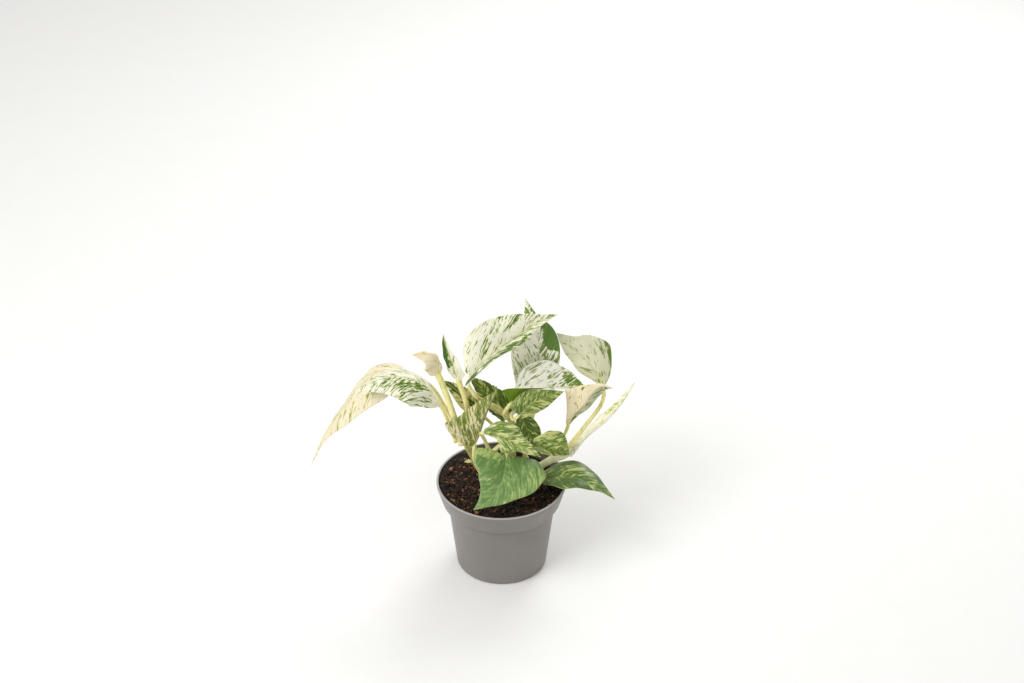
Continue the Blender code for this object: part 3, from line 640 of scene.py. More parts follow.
def use_group(tree, name, values):
    """The outputs of a shared node group, placed in a material with its own values."""
    made = tree.nodes.new("ShaderNodeGroup")
    made.node_tree = bpy.data.node_groups[name]
    feed(tree, made, values)
    return made.outputs


def add_bump(tree, shader, height, strength, distance):
    """Fine relief from a height that changes over the surface."""
    made = node(tree, "Bump", {"Height": height, "Strength": strength, "Distance": distance})
    tree.links.new(made.outputs["Normal"], shader.inputs["Normal"])


SUBSURFACE_RADIUS = (0.0025, 0.003, 0.0012)


def blade_material(name, marks, sizes, underside=False):
    """The marbled skin of one side of a blade."""
    material, tree, shader = new_material(name)
    share = node(tree, "UVMap", uv_map="UVMap").outputs["UV"]
    plan = node(tree, "Attribute", attribute_name="plan").outputs["Vector"]
    tones = dict(zip(("Palest", "Pale", "Middle", "Deep"), TONES[marks["tones"]]))
    # A half can take its own palette. The one blade that does this gets a darker copy there, as painted
    # shade.
    if marks["right_tones"] != marks["tones"]:
        to_right = sums(tree, "GREATER_THAN", node(tree, "SeparateXYZ", {0: plan}).outputs["X"], 0.0)
        others = dict(zip(tones, TONES[marks["right_tones"]]))
        tones = {key: mix_colour(tree, to_right, tones[key], others[key]) for key in tones}
    spots = 0.0
    for across, along, wide, long, greener in marks["spots"]:
        mask = use_group(tree, "Spot", {"Share": share, "Plan": plan, "Place": (across, along, 0.0),
                                        "Size": (wide, long, 1.0)})["Mask"]
        spots = sums(tree, "MULTIPLY_ADD", mask, greener, spots)
    made = use_group(tree, "Marbled blade", {
        "Share": share, "Plan": plan, "Left": marks["left"], "Right": marks["right"],
        "Patches": marks["patches"], "Contrast": marks["contrast"], "Net": marks["net"],
        "Stripe": marks["stripe"], "Spots": spots, "Seed": marks["seed"],
        "Spacing": sizes.vein_spacing, **tones})
    tree.links.new(made["Colour"], shader.inputs["Base Color"])
    tree.links.new(made["Roughness"], shader.inputs["Roughness"])
    shader.inputs["Subsurface Weight"].default_value = 0.05
    shader.inputs["Subsurface Radius"].default_value = SUBSURFACE_RADIUS
    shader.inputs["Subsurface Scale"].default_value = 1.0
    shader.inputs["Specular IOR Level"].default_value = 0.3 if underside else 0.45
    add_bump(tree, shader, made["Height"], 0.35, 0.0004)
    return material


def stalk_material(name, foot, top, scale=220.0):
    """Pale stalk skin that turns from one colour at the foot to another at the top."""
    material, tree, shader = new_material(name)
    along = node(tree, "SeparateXYZ", {0: node(tree, "UVMap", uv_map="UVMap").outputs["UV"]}).outputs["Y"]
    place = node(tree, "TexCoord").outputs["Object"]
    stretched = node(tree, "Mapping", {"Vector": place, "Scale": (1.0, 1.0, 0.25)}).outputs["Vector"]
    blend = sums(tree, "MULTIPLY_ADD", noise_at(tree, place, 60.0), 0.5, sums(tree, "SUBTRACT", along, 0.25))
    skin = mix_colour(tree, rise(tree, blend, 0.0, 1.0), foot, top)
    streak = use_group(tree, "Grain", {"Place": stretched, "Scale": scale, "Detail": 3.0, "Low": 0.45,
                                       "High": 0.75, "First": (1, 1, 1, 1), "Second": srgb(206, 214, 168)})
    skin = mix_colour(tree, 1.0, skin, streak["Colour"], "MULTIPLY")
    tree.links.new(skin, shader.inputs["Base Color"])
    rough = sums(tree, "MULTIPLY_ADD", streak["Height"], 0.2, 0.28)
    tree.links.new(rough, shader.inputs["Roughness"])
    shader.inputs["Subsurface Weight"].default_value = 0.25
    shader.inputs["Subsurface Radius"].default_value = SUBSURFACE_RADIUS
    shader.inputs["Subsurface Scale"].default_value = 1.0
    add_bump(tree, shader, streak["Height"], 0.3, 0.0004)
    return material


def plastic_material(colour):
    """Matt plastic, scuffed all over, with a pale band painted along the top of the rim as a highlight."""
    material, tree, shader = new_material("pot_plastic")
    place = node(tree, "TexCoord").outputs["Object"]
    drift = use_group(tree, "Grain", {"Place": place, "Scale": 14.0, "Detail": 2.0, "Low": 0.3, "High": 0.7,
                                      "First": colour, "Second": scaled(colour, 1.12)})
    speck = noise_at(tree, place, 2600.0, 2.0)
    height = node(tree, "SeparateXYZ", {0: place}).outputs["Z"]
    # A pale band along the rim's top edge: a painted highlight where the rim catches the light.
    rim_painted_highlight = sums(tree, "MULTIPLY", rise(tree, height, POT_HIGH.z - 1.2 * MM, POT_HIGH.z - 0.4 * MM), 0.5)
    skin = mix_colour(tree, rim_painted_highlight, drift["Colour"], srgb(206, 202, 198))
    tree.links.new(skin, shader.inputs["Base Color"])
    scuff = noise_at(tree, place, 90.0, 4.0, 0.65)
    tree.links.new(sums(tree, "MULTIPLY_ADD", scuff, 0.22, 0.3), shader.inputs["Roughness"])
    shader.inputs["Specular IOR Level"].default_value = 0.4
    add_bump(tree, shader, speck, 0.12, 0.0002)
    return material


def soil_material(name, peat, bark, tinted):
    """Peat or bark; tinted pieces vary by their own tint attribute, the soil body by place."""
    material, tree, shader = new_material(name)
    place = node(tree, "TexCoord").outputs["Object"]
    grain = use_group(tree, "Grain", {"Place": place, "Scale": 420.0, "Detail": 5.0, "Low": 0.58,
                                      "High": 0.8, "First": peat, "Second": bark})
    colour = grain["Colour"]
    if tinted:
        tint = node(tree, "Attribute", attribute_name="tint").outputs["Fac"]
        colour = mix_colour(tree, tint, peat, bark)
        shade = rise(tree, grain["Height"], 0.2, 0.75)
        shade = sums(tree, "MULTIPLY_ADD", shade, 0.7, 0.5)
        colour = mix_colour(tree, 1.0, colour, grey(tree, shade), "MULTIPLY")
    tree.links.new(colour, shader.inputs["Base Color"])
    rough = sums(tree, "MULTIPLY_ADD", grain["Height"], 0.3, 0.65)
    tree.links.new(rough, shader.inputs["Roughness"])
    shader.inputs["Specular IOR Level"].default_value = 0.3
    add_bump(tree, shader, grain["Height"], 0.8, 0.0008)
    return material


# ---------------------------------------------------------------------------- blades

BLADE_COLUMNS = 44
BLADE_ROWS = 72
RIB_SAMPLES = 60
RIB_CROWDING = 1.35       # above 1, the columns crowd towards the rib
TIP_WIDTH = 0.25 * MM     # half the width of a blade at its tip
LOBE_FADE = 4             # how soon the foot's lobes end along the blade
LOBE_ROUND = 1.6          # how round they are across it
CORNER_PULL = 0.1         # how far the foot's corners are rounded off, as a share of its width
GROOVE_DEPTH = 0.45 * MM  # how deep the rib lies in a blade's upper side
GROOVE_WIDTH = 1.3 * MM
MARGIN_WAVES = 3.1        # waves along one margin
SWAY = 0.9 * MM           # how far a blade bends out of its plane between its veins
SWAYS = 70                # such bends for each metre


def read_even(values, share):
    """Values at shares along a smooth curve through evenly spaced values."""
    points = np.array(values, float)
    ends = np.concatenate([[2 * points[0] - points[1]], points, [2 * points[-1] - points[-2]]])
    place = share * (len(points) - 1)
    k = np.clip(place.astype(int), 0, len(points) - 2)
    t = place - k
    a, b, c, d = ends[k], ends[k + 1], ends[k + 2], ends[k + 3]
    return 0.5 * (2 * b + (c - a) * t + (2 * a - 5 * b + 4 * c - d) * t**2
                  + (3 * b - 3 * c + d - a) * t**3)


def side_vein_phase(out, along, spacing):
    """1 on a side vein and 0 midway between two."""
    root = along - VEIN_SLOPE * out - VEIN_CURVE * out**2
    return 2 * np.abs(np.mod(root / spacing, 1.0) - 0.5)


def blade_relief(leaf, across, along, plan, sizes):
    """How far each place is lifted off a blade's plain surface by waves, veins and the rib."""
    share, out = np.abs(across), np.abs(plan[:, 0])
    seed = leaf["upper"]["seed"]
    margin = share**2 * np.sin(math.pi * np.clip(along, 0, 1)) ** 0.5 * (1 - along**3)
    turns = MARGIN_WAVES * along + 0.37 * seed + 0.3 * np.sign(across)
    wave = sizes.wave * margin * np.sin(2 * math.pi * turns)
    sway = SWAY * np.array([noise.noise(Vector((p[0] * SWAYS, p[1] * SWAYS, seed))) for p in plan])
    sunk = sizes.vein_depth * np.clip(4 * side_vein_phase(out, plan[:, 1], sizes.vein_spacing) - 3, 0, 1)
    sunk *= np.clip(out / (3 * MM), 0, 1) * (1 - 0.7 * share**2)
    groove = GROOVE_DEPTH * np.exp(-(out / GROOVE_WIDTH) ** 2) * (1 - along)
    return wave + sway * np.clip(out / (10 * MM), 0, 1) - sunk - groove


def blade_surface(leaf, across, along, sizes):
    """Places on a blade, with their plan: how far each lies out from the rib and along it. Shares
    across run from -1 at the left margin to 1 at the right, and along from 0 at the stalk."""
    ribs, tangents = smooth_route(from_soil(leaf["rib"]), RIB_SAMPLES)
    length = np.linalg.norm(np.diff(ribs, axis=0), axis=1).sum()
    rib, tangent = read_along(ribs, along), unit(read_along(tangents, along))
    up = np.array(leaf["up"], float)
    normal = unit(up - tangent * (tangent @ up)[:, None])
    right = np.cross(tangent, normal)
    share = np.abs(across)
    places, plan = rib.copy(), np.zeros_like(rib)
    for sign, part in ((-1, leaf["left"]), (1, leaf["right"])):
        here = across * sign > 0
        u, s = along[here], share[here]
        bend = np.radians(read_even(part["folds"], u))[:, None]
        wide = np.maximum(read_even(part["widths"], u) * MM, TIP_WIDTH)
        wide *= 1 - leaf.get("ragged", 0.0) * (0.5 + 0.5 * np.sin(61 * u + 3 * np.sin(23 * u))) * s**2
        back = part["reach"] * MM * (1 - u) ** LOBE_FADE * s**LOBE_ROUND
        back -= CORNER_PULL * part["widths"][0] * MM * (1 - u) ** 10 * s**5
        outward = sign * np.cos(bend) * right[here] - np.sin(bend) * normal[here]
        over = np.cos(bend) * normal[here] + sign * np.sin(bend) * right[here]
        arch = sizes.crown * wide * 4 * s * (1 - s)
        places[here] += outward * (wide * s)[:, None] + over * arch[:, None]
        places[here] -= tangent[here] * back[:, None]
        plan[here, 0] = sign * wide * s
        plan[here, 1] = u * length - back
    plan[share == 0, 1] = along[share == 0] * length
    return places + normal * blade_relief(leaf, across, along, plan, sizes)[:, None], plan


def make_blade(name, leaf, sizes):
    """One open blade: a grid laid on its surface, given its thickness, with a skin for each side."""
    ob = add_grid("blade_" + name, BLADE_COLUMNS, BLADE_ROWS)
    flat = read_points(ob.data)
    across = np.sign(flat[:, 0]) * np.abs(flat[:, 0]) ** RIB_CROWDING
    across[np.abs(across) < 1e-6] = 0.0
    along = (flat[:, 1] + 1) / 2
    places, plan = blade_surface(leaf, across, along, sizes)
    write_points(ob.data, places)
    write_attribute(ob.data, "plan", "FLOAT_VECTOR", plan)
    for loop, uv in zip(ob.data.loops, ob.data.uv_layers[0].data):
        uv.uv = ((across[loop.vertex_index] + 1) / 2, along[loop.vertex_index])
    upper = blade_material("upper_" + name, leaf["upper"], sizes)
    under = blade_material("under_" + name, leaf.get("under", leaf["upper"]), sizes, underside=True)
    shell = ob.modifiers.new("thickness", "SOLIDIFY")
    shell.thickness = sizes.thickness
    shell.offset = 0.0
    shell.use_even_offset = True
    shell.material_offset = 1
    ob.data.materials.append(upper)
    ob.data.materials.append(under)
    apply_all(ob)
    slot = next(s["material_slot"] for s in frame["record"]["subparts"] if s["node"] == "leaf_" + name)
    return place_piece(ob, slot, "leaf_" + name, materials=())


# ---------------------------------------------------------------------------- tubes

def make_tube(name, places, radii, sides=16):
    """A closed round tube with a radius for each place; the ends are pinched shut."""
    places = np.vstack([places[:1], places, places[-1:]])
    radii = np.concatenate([[0.0], radii, [0.0]])
    tangents = unit(np.gradient(places, axis=0))
    tangents[0], tangents[-1] = tangents[1], tangents[-2]
    frames = [unit(np.cross(tangents[0], (0.3, 0.9, 0.2)))]
    for tangent in tangents[1:]:
        frames.append(unit(frames[-1] - tangent * (frames[-1] @ tangent)))
    first = np.array(frames)
    second = np.cross(tangents, first)
    ob = add_grid(name, sides, len(places) - 1)
    flat = read_points(ob.data)
    angle = math.pi * flat[:, 0]
    row = np.rint((flat[:, 1] + 1) / 2 * (len(places) - 1)).astype(int)
    ring = first[row] * np.cos(angle)[:, None] + second[row] * np.sin(angle)[:, None]
    write_points(ob.data, places[row] + ring * radii[row][:, None])
    edit(ob, weld, face_out)
    return ob


STALK_SPACING = 1.5 * MM  # distance between a stalk's rings
RIDGE_REACH = 0.8         # how far the stalk runs on as the rib under its blade
FLARE = 0.35              # how much wider a stalk's foot is where it clasps the stem
SINK = 4.0                # how far a stalk starts back inside its stem, in millimetres


def sunk_route(carried):
    """A route in the table, started further back so that its foot is inside the stem."""
    route = np.array(carried["route"], float)
    back = carried.get("sink", SINK) * unit(route[0] - route[1])
    return from_soil(np.vstack([route[:1] + back, route]))


def stalk_places(stalk, leaf, thickness):
    """The stalk's route up to the blade, then on under the rib, with its radii."""
    ribs, tangents = smooth_route(from_soil(leaf["rib"]), RIB_SAMPLES)
    up = np.array(leaf["up"], float)
    normals = unit(up - tangents * (tangents @ up)[:, None])
    first, last = (r * MM for r in stalk["radius"])
    reach = int(RIDGE_REACH * RIB_SAMPLES)
    u = np.linspace(0, RIDGE_REACH, reach)
    ridge = np.interp(u, (0, 0.08, RIDGE_REACH), (0.75 * last, 0.5 * last, 0.15 * MM))
    under = ribs[:reach] - normals[:reach] * (thickness / 2 + 0.35 * ridge + GROOVE_DEPTH * (1 - u))[:, None]
    points = np.vstack([sunk_route(stalk), under[2:3]])
    run = np.linalg.norm(np.diff(points, axis=0), axis=1).sum()
    count = max(8, int(run / STALK_SPACING))
    places, _ = smooth_route(points, count)
    share = np.linspace(0, 1, count)
    radii = np.interp(share, (0, 1), (first, last)) * (1 + FLARE * np.exp(-share * run / (5 * MM)))
    radii *= 1 + 0.12 * np.exp(-((share - 0.93) * run / (4 * MM)) ** 2)
    radii[-3:] = np.linspace(radii[-3], ridge[3], 3)
    return np.vstack([places, under[3:]]), np.concatenate([radii, ridge[3:]])


def make_stalk(name, stalk, leaf, sizes, material):
    """One leaf stalk, from inside its stem to well along its blade's rib."""
    places, radii = stalk_places(stalk, leaf, sizes.thickness)
    ob = make_tube("petiole_" + name, places, radii)
    return place_piece(ob, "stalk", "stalk_" + name, materials=[material])


NODE_SPACING = 24 * MM    # distance between the joints of a stem
NODE_SWELL = 0.22         # how much wider a stem is at a joint
NODE_LENGTH = 1.6 * MM    # how far a joint's swelling reaches to each side
FIRST_NODE = 4 * MM       # how far the first joint is moved along


def make_stem(name, stem, material):
    """One rooted stem, swollen at its joints and rounded off at its top."""
    points = from_soil(stem["route"])
    run = np.linalg.norm(np.diff(points, axis=0), axis=1).sum()
    count = int(run / STALK_SPACING)
    places, _ = smooth_route(points, count)
    first, last = (r * MM for r in stem["radius"])
    share = np.linspace(0, 1, count)
    radii = np.interp(share, (0, 1), (first, last))
    from_node = np.mod(share * run + FIRST_NODE, NODE_SPACING) - NODE_SPACING / 2
    radii *= 1 + NODE_SWELL * np.exp(-(from_node / NODE_LENGTH) ** 2)
    radii[-4:] *= np.array((1.0, 0.95, 0.8, 0.55))
    ob = make_tube("vine_" + name, places, radii, 24)
    return place_piece(ob, "stem", "stem_" + name, materials=[material])


ROLL_COLUMNS = 48
ROLL_ROWS = 90
ROLL_TURNS = 1.4
ROLL_START = 0.42         # where round the roll its inner edge lies, in turns
ROLL_GROWTH = 0.22        # how much wider the roll's outer edge lies than its inner edge


def make_spear(sizes):
    """The newest leaf, still rolled up round itself, on its stalk."""
    places, tangents = smooth_route(sunk_route(SPEAR), ROLL_ROWS + 1)
    ob = add_grid("blade_right_spear", ROLL_COLUMNS, ROLL_ROWS)
    flat = read_points(ob.data)
    u, v = (flat[:, 0] + 1) / 2, (flat[:, 1] + 1) / 2
    row = np.rint(v * ROLL_ROWS).astype(int)
    side = unit(np.cross(tangents, (0.0, 1.0, 0.0)))
    front = np.cross(side, tangents)
    body = SPEAR["radius"] * MM * np.interp(v, (0, 0.3, 0.5, 0.72, 1), (0.9, 0.8, 1.2, 0.75, 0.12))
    radius = body * (1 + ROLL_GROWTH * (u - 0.5))
    angle = 2 * math.pi * (ROLL_TURNS * u + ROLL_START)
    ring = side[row] * np.cos(angle)[:, None] + front[row] * np.sin(angle)[:, None]
    write_points(ob.data, places[row] + ring * radius[:, None])
    write_attribute(ob.data, "plan", "FLOAT_VECTOR",
                    np.column_stack([(u - 0.5) * 0.03, v * 0.1, np.zeros(len(u))]))
    shell = ob.modifiers.new("thickness", "SOLIDIFY")
    shell.thickness = 0.6 * sizes.thickness
    shell.offset = 0.0
    marks = look("lemon", 0.2, 0.2, seed=21.4, spots=((0.5, 0.75, 0.6, 0.12, 0.3),))
    ob.data.materials.append(blade_material("rolled_blade", marks, sizes))
    apply_all(ob)
    return place_piece(ob, "leaf_cream", "leaf_right_spear", materials=())


# ---------------------------------------------------------------------------- pot

COLLAR_TAPER = 4.9 * MM   # radius lost from the rim to the collar's foot
SHOULDER_HEIGHT = 6.5 * MM
SHOULDER_TAPER = 5.3 * MM
BODY_INSET = 0.5 * MM     # small step in under the shoulder
FOOT_ROUND = 2.5 * MM
FOOT_STEPS = 7            # places round the foot's curve
RIM_LIP = 0.7 * MM        # how much thicker the wall is at its top edge
RIM_LIP_HEIGHT = 3.0 * MM
RIM_ROUND = 0.6 * MM      # radius of the rim's outer edge
LIP_ROUND = 0.5 * MM      # radius of its inner edge
DRAIN_HOLES = 8
DRAIN_RADIUS = 3.0 * MM
DRAIN_RING = 0.72         # share of the base radius


def arc(centre_r, centre_z, radius, start, end, steps):
    """Profile places round an arc, by angles in degrees from outwards to upwards."""
    angles = np.radians(np.linspace(start, end, steps))
    return [(centre_r + radius * math.cos(a), centre_z + radius * math.sin(a)) for a in angles]


def pot_outside(pot):
    """Outer profile from the foot up to just under the rim."""
    rim, top = POT_HIGH.x, POT_HIGH.z
    collar_foot = top - pot.collar_height
    shoulder_foot = collar_foot - SHOULDER_HEIGHT
    collar_radius = rim - COLLAR_TAPER
    shoulder_radius = collar_radius - SHOULDER_TAPER
    body_radius = shoulder_radius - BODY_INSET
    profile = arc(pot.base_radius - FOOT_ROUND, FOOT_ROUND, FOOT_ROUND, -90, 0, FOOT_STEPS)
    profile += [(body_radius, shoulder_foot - BODY_INSET / 2),
                (body_radius + 0.4 * BODY_INSET, shoulder_foot - 0.3 * BODY_INSET),
                (shoulder_radius, shoulder_foot + 0.1 * BODY_INSET),
                (collar_radius - 0.3 * MM, collar_foot - 0.35 * MM),
                (collar_radius, collar_foot + 0.3 * MM), (rim - 0.25 * MM, top - RIM_LIP_HEIGHT + 0.4 * MM),
                (rim, top - RIM_LIP_HEIGHT + 0.9 * MM)]
    return profile


def pot_inside(pot):
    """Inner profile from under the rim down to the floor."""
    lip = POT_HIGH.x - pot.wall - RIM_LIP
    foot = pot.base_radius - pot.wall
    profile = [(lip, POT_HIGH.z - RIM_LIP_HEIGHT + 1.2 * MM)]
    profile += [(radius - pot.wall, z) for radius, z in reversed(pot_outside(pot)[FOOT_STEPS:-1])]
    profile += arc(foot - FOOT_ROUND, pot.floor + FOOT_ROUND, FOOT_ROUND, 0, -90, 5)
    return profile


def make_pot(pot):
    """A disc for the underside, drawn up ring by ring outside and down again inside."""
    rings = pot_outside(pot)
    rings += arc(POT_HIGH.x - RIM_ROUND, POT_HIGH.z - RIM_ROUND, RIM_ROUND, 0, 90, 4)
    lip = POT_HIGH.x - pot.wall - RIM_LIP
    rings += arc(lip + LIP_ROUND, POT_HIGH.z - LIP_ROUND, LIP_ROUND, 90, 180, 4)
    rings += pot_inside(pot)
    bpy.ops.object.select_all(action="DESELECT")
    radius, height = rings[0]
    bpy.ops.mesh.primitive_circle_add(vertices=pot.steps, radius=radius, fill_type="NGON",
                                      location=(0, 0, height))
    ob = bpy.context.active_object
    ob.name = ob.data.name = "nursery_pot"
    bpy.ops.object.mode_set(mode="EDIT")
    bpy.ops.mesh.select_all(action="SELECT")
    bpy.ops.mesh.select_mode(type="EDGE")
    for last, ring in zip(rings, rings[1:]):
        bpy.ops.mesh.extrude_edges_move(TRANSFORM_OT_translate={"value": (0, 0, ring[1] - last[1])})
        grow = ring[0] / last[0]
        bpy.ops.transform.resize(value=(grow, grow, 1))
    bpy.ops.mesh.edge_face_add()
    bpy.ops.mesh.select_all(action="SELECT")
    face_out()
    bpy.ops.object.mode_set(mode="OBJECT")
    bpy.ops.object.transform_apply(location=True, rotation=True, scale=True)
    return ob


def drill_drains(ob, pot):
    """Cuts the drain holes through the pot's floor."""
    cutters = []
    for k in range(DRAIN_HOLES):
        angle = 2 * math.pi * (k + 0.5) / DRAIN_HOLES
        ring = pot.base_radius * DRAIN_RING
        bpy.ops.object.select_all(action="DESELECT")
        bpy.ops.mesh.primitive_cylinder_add(vertices=32, radius=DRAIN_RADIUS, depth=4 * pot.floor,
                                            location=(ring * math.cos(angle), ring * math.sin(angle), 0))
        cutters.append(bpy.context.active_object)
    for cutter in cutters:
        cutter.select_set(True)
    bpy.ops.object.join()
    cutter = bpy.context.active_object
    cut = ob.modifiers.new("drains", "BOOLEAN")
    cut.object = cutter
    cut.operation = "DIFFERENCE"
    apply_all(ob)
    bpy.data.objects.remove(cutter)


# ---------------------------------------------------------------------------- soil

SOIL_CELLS = 150
SOIL_INSET = 0.5 * MM     # how far the soil stays off the wall
SOIL_DEPTH = 26.0 * MM    # only the top of the soil is modelled in detail
SOIL_TAPER = 0.78         # width of its underside, as a share of its top
SOIL_EDGE = SOIL_TOP - 2.5 * MM   # height of the soil at the wall
SOIL_MOUND = 1.2 * MM     # how much higher its middle is
SOIL_HEAP = 9.0 * MM      # how much higher the soil lies at the back left
CLUMP_HEIGHT = 2.6 * MM
CLUMPS = 95               # for each metre
CRUMB_HEIGHT = 2.2 * MM
CRUMBS = 330              # for each metre


def soil_height(x, y, reach):
    """Height of the soil's crumbly surface at a place."""
    away = math.hypot(x, y) / reach
    mound = (1 - away**2) * SOIL_MOUND
    heap = SOIL_HEAP * max(0.0, min(1.0, (0.4 * y - 0.8 * x) / reach)) ** 2
    clumps = noise.fractal(Vector((x * CLUMPS, y * CLUMPS, 3.1)), 0.7, 2.2, 4) * CLUMP_HEIGHT
    crumbs = abs(noise.noise(Vector((x * CRUMBS, y * CRUMBS, 7.7)))) * CRUMB_HEIGHT
    return min(SOIL_EDGE + mound + heap + clumps * (1 - 0.5 * away**6) + crumbs - 0.4 * MM, POT_HIGH.z)


def soil_reach(pot):
    """Radius of the soil at its edge, just inside the wall."""
    below = POT_HIGH.z - SOIL_EDGE
    return POT_HIGH.x - COLLAR_TAPER * below / pot.collar_height - pot.wall - SOIL_INSET


def make_soil(pot):
    """A disc of crumbs from a grid, with its edge drawn down inside the pot."""
    reach = soil_reach(pot)
    ob = add_grid("potting_soil", SOIL_CELLS, SOIL_CELLS)
    flat = read_points(ob.data)
    a, b = flat[:, 0], flat[:, 1]
    x = a * np.sqrt(1 - b**2 / 2) * reach
    y = b * np.sqrt(1 - a**2 / 2) * reach
    z = np.array([soil_height(p, q, reach) for p, q in zip(x, y)])
    raised = np.maximum(z - SOIL_EDGE, 0)
    spread = 1 + raised * COLLAR_TAPER / pot.collar_height / reach * (np.hypot(x, y) / reach) ** 6
    write_points(ob.data, np.column_stack([x * spread, y * spread, z]))
    select_only(ob)
    bpy.ops.object.mode_set(mode="EDIT")
    bpy.ops.mesh.select_mode(type="EDGE")
    bpy.ops.mesh.select_all(action="DESELECT")
    bpy.ops.mesh.select_non_manifold()
    bpy.ops.mesh.extrude_edges_move(TRANSFORM_OT_translate={"value": (0, 0, -SOIL_DEPTH)})
    bpy.ops.transform.resize(value=(SOIL_TAPER, SOIL_TAPER, 0.02))
    bpy.ops.mesh.edge_face_add()
    bpy.ops.mesh.select_all(action="SELECT")
    face_out()
    bpy.ops.object.mode_set(mode="OBJECT")
    return ob


STEM_CLEARANCE = 2.5 * MM


def stem_feet():
    """Where the stems come out of the soil."""
    return [(stem["route"][1][0] * MM, stem["route"][1][1] * MM) for stem in STEMS.values()]


def scatter(draw, reach):
    """A drawn place on the soil, clear of the stems."""
    while True:
        radius = reach * math.sqrt(draw.random())
        angle = draw.uniform(0, 2 * math.pi)
        x, y = radius * math.cos(angle), radius * math.sin(angle)
        if all(math.hypot(x - p, y - q) > STEM_CLEARANCE for p, q in stem_feet()):
            return x, y


def lump(name, draw):
    """One rough lump, about two units across, of few faces."""
    bpy.ops.object.select_all(action="DESELECT")
    bpy.ops.mesh.primitive_ico_sphere_add(subdivisions=1, radius=1)
    ob = bpy.context.active_object
    ob.name = name
    places = read_points(ob.data)
    seed = draw.uniform(0, 50)
    rough = [1 + 0.45 * noise.noise(Vector(p) * 1.3 + Vector((seed, 0, 0))) for p in places]
    write_points(ob.data, places * np.array(rough)[:, None])
    return ob


def spread_copies(name, models, draw, count, reach, size, flatness, sink, tint):
    """Joined copies of a few models, each with its own place, turn, size and tint."""
    copies = []
    for _ in range(count):
        model = draw.choice(models)
        ob = model.copy()
        ob.data = model.data.copy()
        bpy.context.scene.collection.objects.link(ob)
        x, y = scatter(draw, reach - size[1])
        big = draw.uniform(*size) * draw.uniform(0.6, 1.0)
        scale = np.array((1.0, draw.uniform(0.4, 0.9), draw.uniform(*flatness))) * big
        yaw, roll = draw.uniform(0, 2 * math.pi), draw.uniform(-0.5, 0.5)
        places = read_points(ob.data) * scale
        cr, sr, cy, sy = math.cos(roll), math.sin(roll), math.cos(yaw), math.sin(yaw)
        places = places @ np.array(((cr, 0, -sr), (0, 1, 0), (sr, 0, cr)))
        places = places @ np.array(((cy, sy, 0), (-sy, cy, 0), (0, 0, 1)))
        ground = soil_height(x, y, reach)
        write_points(ob.data, places + (x, y, ground + scale[2] * sink))
        value = tint[0] + (tint[1] - tint[0]) * draw.random() ** 2
        write_attribute(ob.data, "tint", "FLOAT", np.full(len(places), value))
        copies.append(ob)
    return join_as(name, copies)


def fibre(draw, reach):
    """One bent strand lying on the soil."""
    x, y = scatter(draw, reach - 4 * MM)
    yaw, bend = draw.uniform(0, 2 * math.pi), draw.uniform(-0.5, 0.5)
    step = draw.uniform(1.0, 3.2) * MM
    points = []
    for k in range(5):
        px, py = x, y
        ground = soil_height(px, py, reach)
        points.append((px, py, ground + (0.5 + 1.1 * math.sin(k * 0.8)) * MM))
        x += step * math.cos(yaw)
        y += step * math.sin(yaw)
        yaw += bend
        if math.hypot(x, y) > reach - 1.5 * MM:
            yaw += math.pi / 2
            x, y = px, py
    places, _ = smooth_route(points, 7)
    ob = make_tube("strand", places, np.linspace(1, 0.5, 7) * draw.uniform(0.12, 0.3) * MM, 5)
    write_attribute(ob.data, "tint", "FLOAT", np.full(len(ob.data.vertices), draw.uniform(0.2, 0.9)))
    return ob


def join_as(name, objects):
    """One object made of many, under a new name."""
    bpy.ops.object.select_all(action="DESELECT")
    for ob in objects:
        ob.select_set(True)
    bpy.context.view_layer.objects.active = objects[0]
    bpy.ops.object.join()
    made = bpy.context.active_object
    made.name = made.data.name = name
    return made


# ---------------------------------------------------------------------------- operators


class POTHOS_OT_pot(bpy.types.Operator):
    """Turn the nursery pot and drill its drain holes"""
    bl_idname = "pothos.pot"
    bl_label = "Nursery pot"

    def execute(self, context):
        pot = context.scene.pothos_pot
        ob = make_pot(pot)
        drill_drains(ob, pot)
        place_piece(ob, "pot", "pot", materials=[plastic_material(pot.colour)])
        bpy.ops.object.shade_smooth_by_angle(angle=math.radians(35))
        return {"FINISHED"}


class POTHOS_OT_soil(bpy.types.Operator):
    """Fill the pot with crumbly soil and scatter crumbs, chips and fibres on it"""
    bl_idname = "pothos.soil"
    bl_label = "Soil"

    def execute(self, context):
        pot, soil = context.scene.pothos_pot, context.scene.pothos_soil
        reach = soil_reach(pot)
        peat, bark = soil.peat, soil.bark
        body = make_soil(pot)
        place_piece(body, "soil", "soil", materials=[soil_material("peat", peat, bark, False)])
        draw = random.Random(11)
        bits = soil_material("crumbs", peat, bark, True)
        models = [lump(f"model_{k}", draw) for k in range(4)]
        crumbs = spread_copies("peat_crumbs", models, draw, soil.crumbs, reach,
                               (0.7 * MM, 2.6 * MM), (0.5, 0.9), 0.4, (0.0, 0.2))
        place_piece(crumbs, "soil", materials=[bits])
        chips = spread_copies("bark_chips", models, draw, soil.chips, reach,
                              (0.9 * MM, 3.2 * MM), (0.25, 0.6), 0.7, (0.05, 1.3))
        place_piece(chips, "soil", materials=[bits])
        for model in models:
            bpy.data.objects.remove(model)
        strands = join_as("fibres", [fibre(draw, reach) for _ in range(soil.fibres)])
        place_piece(strands, "soil", materials=[bits])
        return {"FINISHED"}


